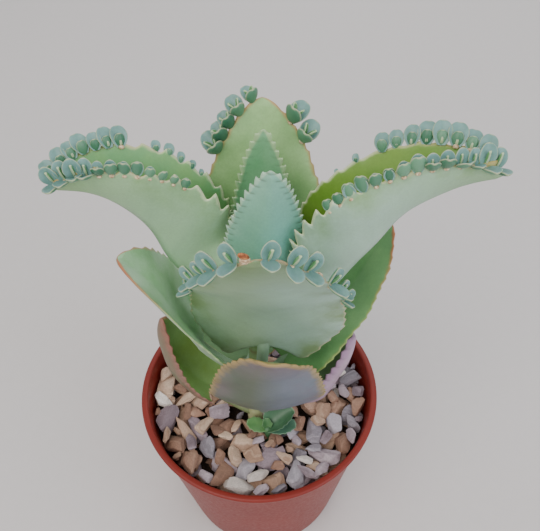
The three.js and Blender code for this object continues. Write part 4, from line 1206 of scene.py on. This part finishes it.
def make_gravel():
    draw = random.Random(GRAVEL_SEED)
    coarse, fine = ball_mesh(2), ball_mesh(3)
    ceiling = keep_out()
    x, y = cell_middles()
    ground = np.full((GRID, GRID), SOIL_TOP + 0.2)
    stem = stem_axis(STEM_GROUND)
    ground[np.hypot(x - stem[0], y - stem[1]) < STEM_RADIUS_FOOT + 0.5] = BLOCKED
    ground[np.hypot(x - OFFSET_X, y - OFFSET_Y) < OFFSET_RADIUS + 0.4] = BLOCKED
    shapes = [Shape() for _ in STONE_KINDS]
    for shortest, longest, count, sunk in SCOOPS:
        for _ in range(count):
            form = stone_form(draw, draw.uniform(shortest, longest))
            lie = turn_matrix(draw.gauss(0, 0.35), draw.gauss(0, 0.22), draw.uniform(0, 6.28))
            corners = stone_corners(coarse[0], form) @ lie.T
            own = stone_corners(fine[0], form)
            tone, pick = draw.random(), draw.random()
            aimed = sunk > 0 and draw.random() < AIMED
            best = find_place(ground, ceiling - (0 if aimed else sunk), corners,
                              own @ lie.T, aimed, draw)
            if best is None:
                continue
            rest, at, column, row = best
            for cells in cells_around(column, row, 2):
                np.maximum.at(ground, cells, corners[:, 2] + rest)
            right = 0.5 + at[0] / BED_WIDTH
            kind = 0
            while kind < len(STONE_KINDS) - 1:
                pick -= mix(STONE_KINDS[kind][1], STONE_KINDS[kind][2], right)
                if pick < 0:
                    break
                kind += 1
            seen = corners[:, 2].max() + rest > BURIED and longest > 8
            faces = fine[1] if seen else coarse[1]
            own = own if seen else stone_corners(coarse[0], form)
            shapes[kind].add(own @ lie.T + at + [0, 0, rest], faces, tone=tone,
                             bed=own[:, 2] + 0.35 * own[:, 1] + 100 * tone)
    for (name, _, _, colours), shape in zip(STONE_KINDS, shapes):
        piece = shape.build(f"{name}_chips", [stone_finish(name, colours)])
        piece.data.set_sharp_from_angle(angle=math.radians(24))
        settle(piece, "gravel_bed")


make_gravel()

# ---- Floor and light ----------------------------------------------------------------


def floor_finish():
    """Matt studio board: pale grey and even, with faint clouds of pulp about 6 mm across."""
    material, place = finished("matt_studio_board", Roughness=0.8, IOR=1.45)
    paper = add(material, "TexNoise", {"Vector": place, "Scale": per_mm(6)})
    colour = add(material, "MixRGB", {"Fac": paper, "Color1": "#c9c4c2", "Color2": "#cdc8c6"})
    dress(material, Base_Color=colour)
    return material


def make_floor():
    reach = 3000
    shape = Shape()
    line = np.linspace(-reach, reach, 9)
    x, y = np.meshgrid(line, line, indexing="ij")
    shape.add(np.stack([x, y, 0 * x - 0.05], axis=-1),
              [face[::-1] for face in grid_faces(9, 9)])
    shape.build("floor", [floor_finish()])


make_floor()


def make_light(name, place, target, size, power, colour):
    data = bpy.data.lights.new(name, "AREA")
    data.shape = "DISK"
    data.size = size * MM
    data.energy = power
    data.color = linear(colour)[:3]
    light = bpy.data.objects.new(name, data)
    light.location = Vector(place) * MM
    aim = (Vector(target) - Vector(place)).to_track_quat("-Z", "Y")
    light.rotation_euler = aim.to_euler()
    bpy.context.scene.collection.objects.link(light)


make_light("window", (-400, -600, 1000), (0, 0, 120), 900, 8, "#fff6ee")
make_light("fill", (800, -600, 600), (0, 0, 120), 900, 5, "#f4f5ff")
make_light("back", (200, 900, 800), (0, 0, 150), 700, 3, "#ffffff")

world = bpy.data.worlds.new("studio")
world.use_nodes = True
world.node_tree.nodes["Background"].inputs["Color"].default_value = linear("#e8ebee")
world.node_tree.nodes["Background"].inputs["Strength"].default_value = 1.0
bpy.context.scene.world = world
